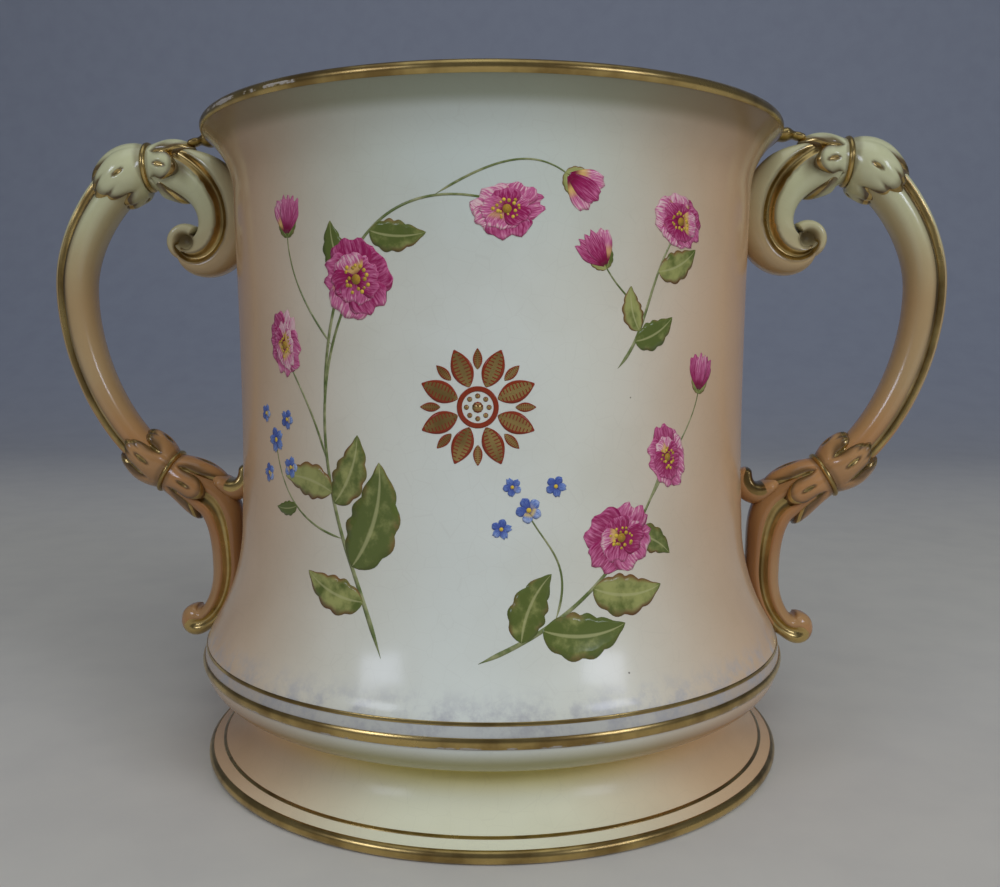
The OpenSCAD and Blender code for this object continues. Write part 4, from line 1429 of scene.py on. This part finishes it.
def leaf(place, turn, length, width, bend):
    """A toothed leaf along an arc."""
    start, curl = math.radians(turn), math.radians(bend)

    def shape(a, b):
        h = start + curl * a
        spine_at = Vector((math.sin(h) - math.sin(start), math.cos(start) - math.cos(h))) * length / curl
        tooth = 1 + 0.2 * abs(math.sin(4.5 * math.pi * a)) * abs(b)
        half = max(0.05, width / 2 * max(0, math.sin(math.pi * a ** 0.75)) ** 0.85 * tooth)
        return place + spine_at + Vector((-math.sin(h), math.cos(h))) * half * b

    stroke(leaves, 30, 6, shape, FIRST_LIFT - LAYER_STEP, dice.random())


def stem(*points, width=0.75):
    """A tapering stroke along a cubic curve, which is given back for what grows on it."""
    path = list(points)

    def shape(a, b):
        h = math.radians(curve_angle(path, a))
        half = width / 2 * (1.1 - 0.5 * a) * ease(a, -0.02, 0.1)
        return curve(path, a) + Vector((-math.sin(h), math.cos(h))) * half * b

    stroke(stems, 48, 2, shape, FIRST_LIFT - 2 * LAYER_STEP, dice.random())
    return path


def leaf_on(path, t, swing, length, width, bend):
    """A leaf that leaves a stem at t, swung from the stem's own direction."""
    leaf(curve(path, t), curve_angle(path, t) + swing, length, width, bend)


# %% Buds and blue flowers


def bud(place, size, turn):
    """Three closed petals over two green sepals."""
    for k, spread in enumerate((-24, 24, 0)):
        petal(roses, place, turn + spread, size, size * 0.55, FIRST_LIFT + LAYER_STEP * k, dice.random())
    for spread in (-50, 48):
        leaf(place - aim(turn) * size * 0.12, turn + spread, size * 0.7, size * 0.22, -spread * 0.7)


def blue_flower(place, size, turn):
    for k in range(PETALS):
        petal(blues, place, turn + PETAL_TURN * k, size / 2, size * 0.36, FIRST_LIFT + LAYER_STEP * k,
              dice.random(), cells=4)
    dot(stamens, place, size * 0.09, FIRST_LIFT + LAYER_STEP * (PETALS + 1), 0.95)


# %% [markdown]
# ## The sprays
# Each face of the cup has three groups: a tall spray that arches over the middle, a low one across from
# it and a sprig. They could be scattered at random, but a painter plans them round the middle. So each
# stem is placed by its angle round the wall and its height, and leaves and flowers hang on the stems.
# Half a turn brings the same sprays to the back.

# %% The sprays


def sprays(shift):
    """A tall spray, a low one across from it and a sprig, all moved round the wall by an angle."""
    def here(degrees, z):
        return spot(degrees + shift, z)

    tall = stem(here(-19, 42), here(-29, 64), here(-41, 92), here(-26, 121), width=1.0)
    arch = stem(curve(tall, 0.66), here(-33, 130), here(-18, 146), here(3, 138))
    low_left = stem(curve(tall, 0.34), here(-38, 68), here(-46, 74), here(-48, 86), width=0.5)
    to_bud = stem(curve(tall, 0.86), here(-38, 118), here(-42, 126), here(-42, 134), width=0.5)
    stem(curve(tall, 0.55), here(-37, 98), here(-42, 102), here(-44, 108), width=0.6)
    last = stem(curve(arch, 0.78), here(2, 148), here(8, 149), here(14, 144), width=0.5)
    leaf_on(tall, 0.26, -62, 25, 11, 45)
    leaf_on(tall, 0.44, -58, 17, 7.5, 40)
    leaf_on(tall, 0.16, 66, 17, 7, -40)
    leaf_on(tall, 0.47, 50, 16, 7, 35)
    leaf_on(arch, 0.36, 62, 12, 5.5, -35)
    leaf_on(arch, 0.52, -64, 13, 6, 35)
    leaf_on(low_left, 0.5, 60, 8, 3, -30)
    rose(here(-44, 109), 17, 50, (10, 0.7), 0.15)
    rose(here(-25, 123), 20.5, 20, (60, 0.88), -0.1)
    rose(here(3, 137), 17.5, 0, (100, 0.7), 0.1)
    bud(curve(to_bud, 1), 8.5, curve_angle(to_bud, 1))
    bud(curve(last, 1), 8.5, curve_angle(last, 1))
    for degrees, z, size in ((-48, 87, 6.4), (-43, 81, 5.4), (-51, 79, 5), (-44, 92, 5), (-52, 93, 4.6)):
        blue_flower(here(degrees, z), size, dice.uniform(0, PETAL_TURN))

    low = stem(here(-2, 42), here(10, 48), here(24, 56), here(34, 80), width=0.95)
    stem(curve(low, 0.36), here(16, 62), here(10, 66), here(7, 73), width=0.5)
    high = stem(curve(low, 0.9), here(38, 86), here(44, 92), here(45, 99), width=0.5)
    leaf_on(low, 0.20, 58, 16, 7, -40)
    leaf_on(low, 0.30, -50, 19, 8.5, 42)
    leaf_on(low, 0.56, -66, 18, 8, 45)
    leaf_on(low, 0.80, -60, 12, 5.5, -40)
    rose(here(36, 84), 16.5, 40, (20, 0.72), 0.12)
    rose(here(25, 67), 19, 10, (120, 0.82), -0.05)
    bud(curve(high, 1), 8.5, curve_angle(high, 1))
    for degrees, z, size in ((7, 74, 6.2), (12, 79, 5), (2, 70, 4.8), (4, 79, 4.4)):
        blue_flower(here(degrees, z), size, dice.uniform(0, PETAL_TURN))

    sprig = stem(here(24, 104), here(31, 112), here(30, 124), here(38, 135), width=0.75)
    side = stem(curve(sprig, 0.4), here(28, 118), here(24, 120), here(21, 126), width=0.5)
    leaf_on(sprig, 0.22, -55, 12, 5.5, 40)
    leaf_on(sprig, 0.30, 58, 10, 4.6, -40)
    leaf_on(sprig, 0.70, -62, 13, 6, 40)
    rose(here(38, 136), 17, 30, (70, 0.75), 0.0)
    bud(curve(side, 1), 8, curve_angle(side, 1))


sprays(0)
sprays(180)
print("sprays:", len(roses.faces), "rose faces,", len(leaves.faces), "leaf faces")

# %% [markdown]
# ## The rosette
# In the middle of the front is an eight-petalled rosette in gold, outlined in iron red, with drops
# between the petals and a beaded heart. It could be a mask on the wall, but as patches it has the same
# raised edges as the flowers. One petal and one drop are drawn eight times round.

# %% The rosette
EIGHTH = 45
# Start and end from the middle, width and turn, and which layer: petals, then drops
ROSETTE_PARTS = ((4.6, 13.0, 4.6, 0, 0), (8.0, 12.4, 2.0, 22.5, 1))


def rosette(place):
    for k in range(8):
        for start, end, wide, off, lift in ROSETTE_PARTS:
            turn = EIGHTH * (k + 0.5) + off
            out, side = aim(turn), aim(turn + 90)

            def shape(a, b):
                half = wide / 2 * max(0.03, math.sin(math.pi * a ** 0.9)) ** 0.8
                return place + out * lerp(start, end, a) + side * half * b

            stroke(ornament, 20, 8, shape, FIRST_LIFT + LAYER_STEP * lift, 1.0)
        dot(ornament, place + aim(EIGHTH * k) * 2.4, 0.55, FIRST_LIFT + LAYER_STEP, 0.9)

    def ring(a, b):
        return place + aim(360 * a) * (3.9 + 0.55 * b)

    stroke(ornament, 64, 4, ring, FIRST_LIFT, 0.0)
    dot(ornament, place, 1.2, FIRST_LIFT, 1.0)


rosette(spot(-2.2, 96))
print("rosette:", len(ornament.faces), "faces")

# %% [markdown]
# ## Closing the patches
# So far the touches are open sheets, and all those of one colour lie in one mesh. A Solidify modifier
# could give them a thickness, but a sheet has no inside, so some would swell the wrong way. Their faces
# are set outward first, away from the cup's axis, and then each sheet is thickened and so closed.

# %% Close the patches
PAINT_T = 0.03
PAINTED = (("painted_roses", roses, rose_paint),
           ("painted_blue_flowers", blues, blue_paint),
           ("painted_leaves", leaves, leaf_paint),
           ("painted_stems", stems, stem_paint),
           ("painted_stamens", stamens, stamen_paint),
           ("painted_rosette", ornament, ornament_paint))
for name, bm, material in PAINTED:
    bmesh.ops.remove_doubles(bm, verts=bm.verts[:], dist=0.0005)
    bm.normal_update()
    inward = [f for f in bm.faces if f.normal.dot(f.calc_center_median() * Vector((1, 1, 0))) < 0]
    bmesh.ops.reverse_faces(bm, faces=inward)
    bmesh.ops.solidify(bm, geom=bm.faces[:], thickness=PAINT_T)
    add_piece(name, bm, material)

# %% [markdown]
# ## Floor
# A pale sheet of paper runs under the cup and curves up behind it, as in a studio. A plane and a wall
# would meet in a dark line, so the sheet is one strip: a line is drawn backwards, bent up through a
# quarter turn and pulled out sideways. Towards the back it turns grey-blue, like the room.

# %% Paper
PAPER, PAPER_BACK, PAPER_CLOUD = tone(0.62, 0.58, 0.52), tone(0.33, 0.35, 0.425), tone(0.94, 0.94, 0.95)

paper, t, shader, where = new_material("studio_paper")
depth_back = soft_step(t, axes(t, where)[1], 0.15, 1.1)
sheet = blend(t, depth_back, PAPER, PAPER_BACK)
sheet = blend(t, soft_step(t, noise(t, where, 40, 4), 0.3, 0.8), sheet, PAPER_CLOUD, "MULTIPLY")
t.links.new(sheet, shader.inputs["Base Color"])
shader.inputs["Roughness"].default_value = 0.85

# %% Sheet of paper
SHEET_FRONT, BEND_Y, BEND_R, SHEET_UP, SHEET_HALF = -2.5, 0.7, 0.6, 1.6, 2.5

bm = bmesh.new()
pen = bm.verts.new((0, SHEET_FRONT, 0))
for y in (-1.0, 0.0, BEND_Y):
    made = bmesh.ops.extrude_vert_indiv(bm, verts=[pen])
    pen = made["verts"][0]
    pen.co = (0, y, 0)
made = bmesh.ops.spin(bm, geom=[pen], cent=(0, BEND_Y, BEND_R), axis=(1, 0, 0), angle=math.pi / 2, steps=16)
pen = corners_of(made["geom_last"])[0]
made = bmesh.ops.extrude_vert_indiv(bm, verts=[pen])
made["verts"][0].co = pen.co + Vector((0, 0, SHEET_UP))
bmesh.ops.translate(bm, vec=(-SHEET_HALF, 0, 0), verts=bm.verts[:])
made = bmesh.ops.extrude_edge_only(bm, edges=bm.edges[:])
bmesh.ops.translate(bm, vec=(2 * SHEET_HALF, 0, 0), verts=corners_of(made["geom"]))
mesh = bpy.data.meshes.new("floor")
bm.to_mesh(mesh)
bm.free()
mesh.shade_smooth()
mesh.materials.append(paper)
floor = bpy.data.objects.new("floor", mesh)
bpy.context.scene.collection.objects.link(floor)
print("floor", len(mesh.polygons), "faces")
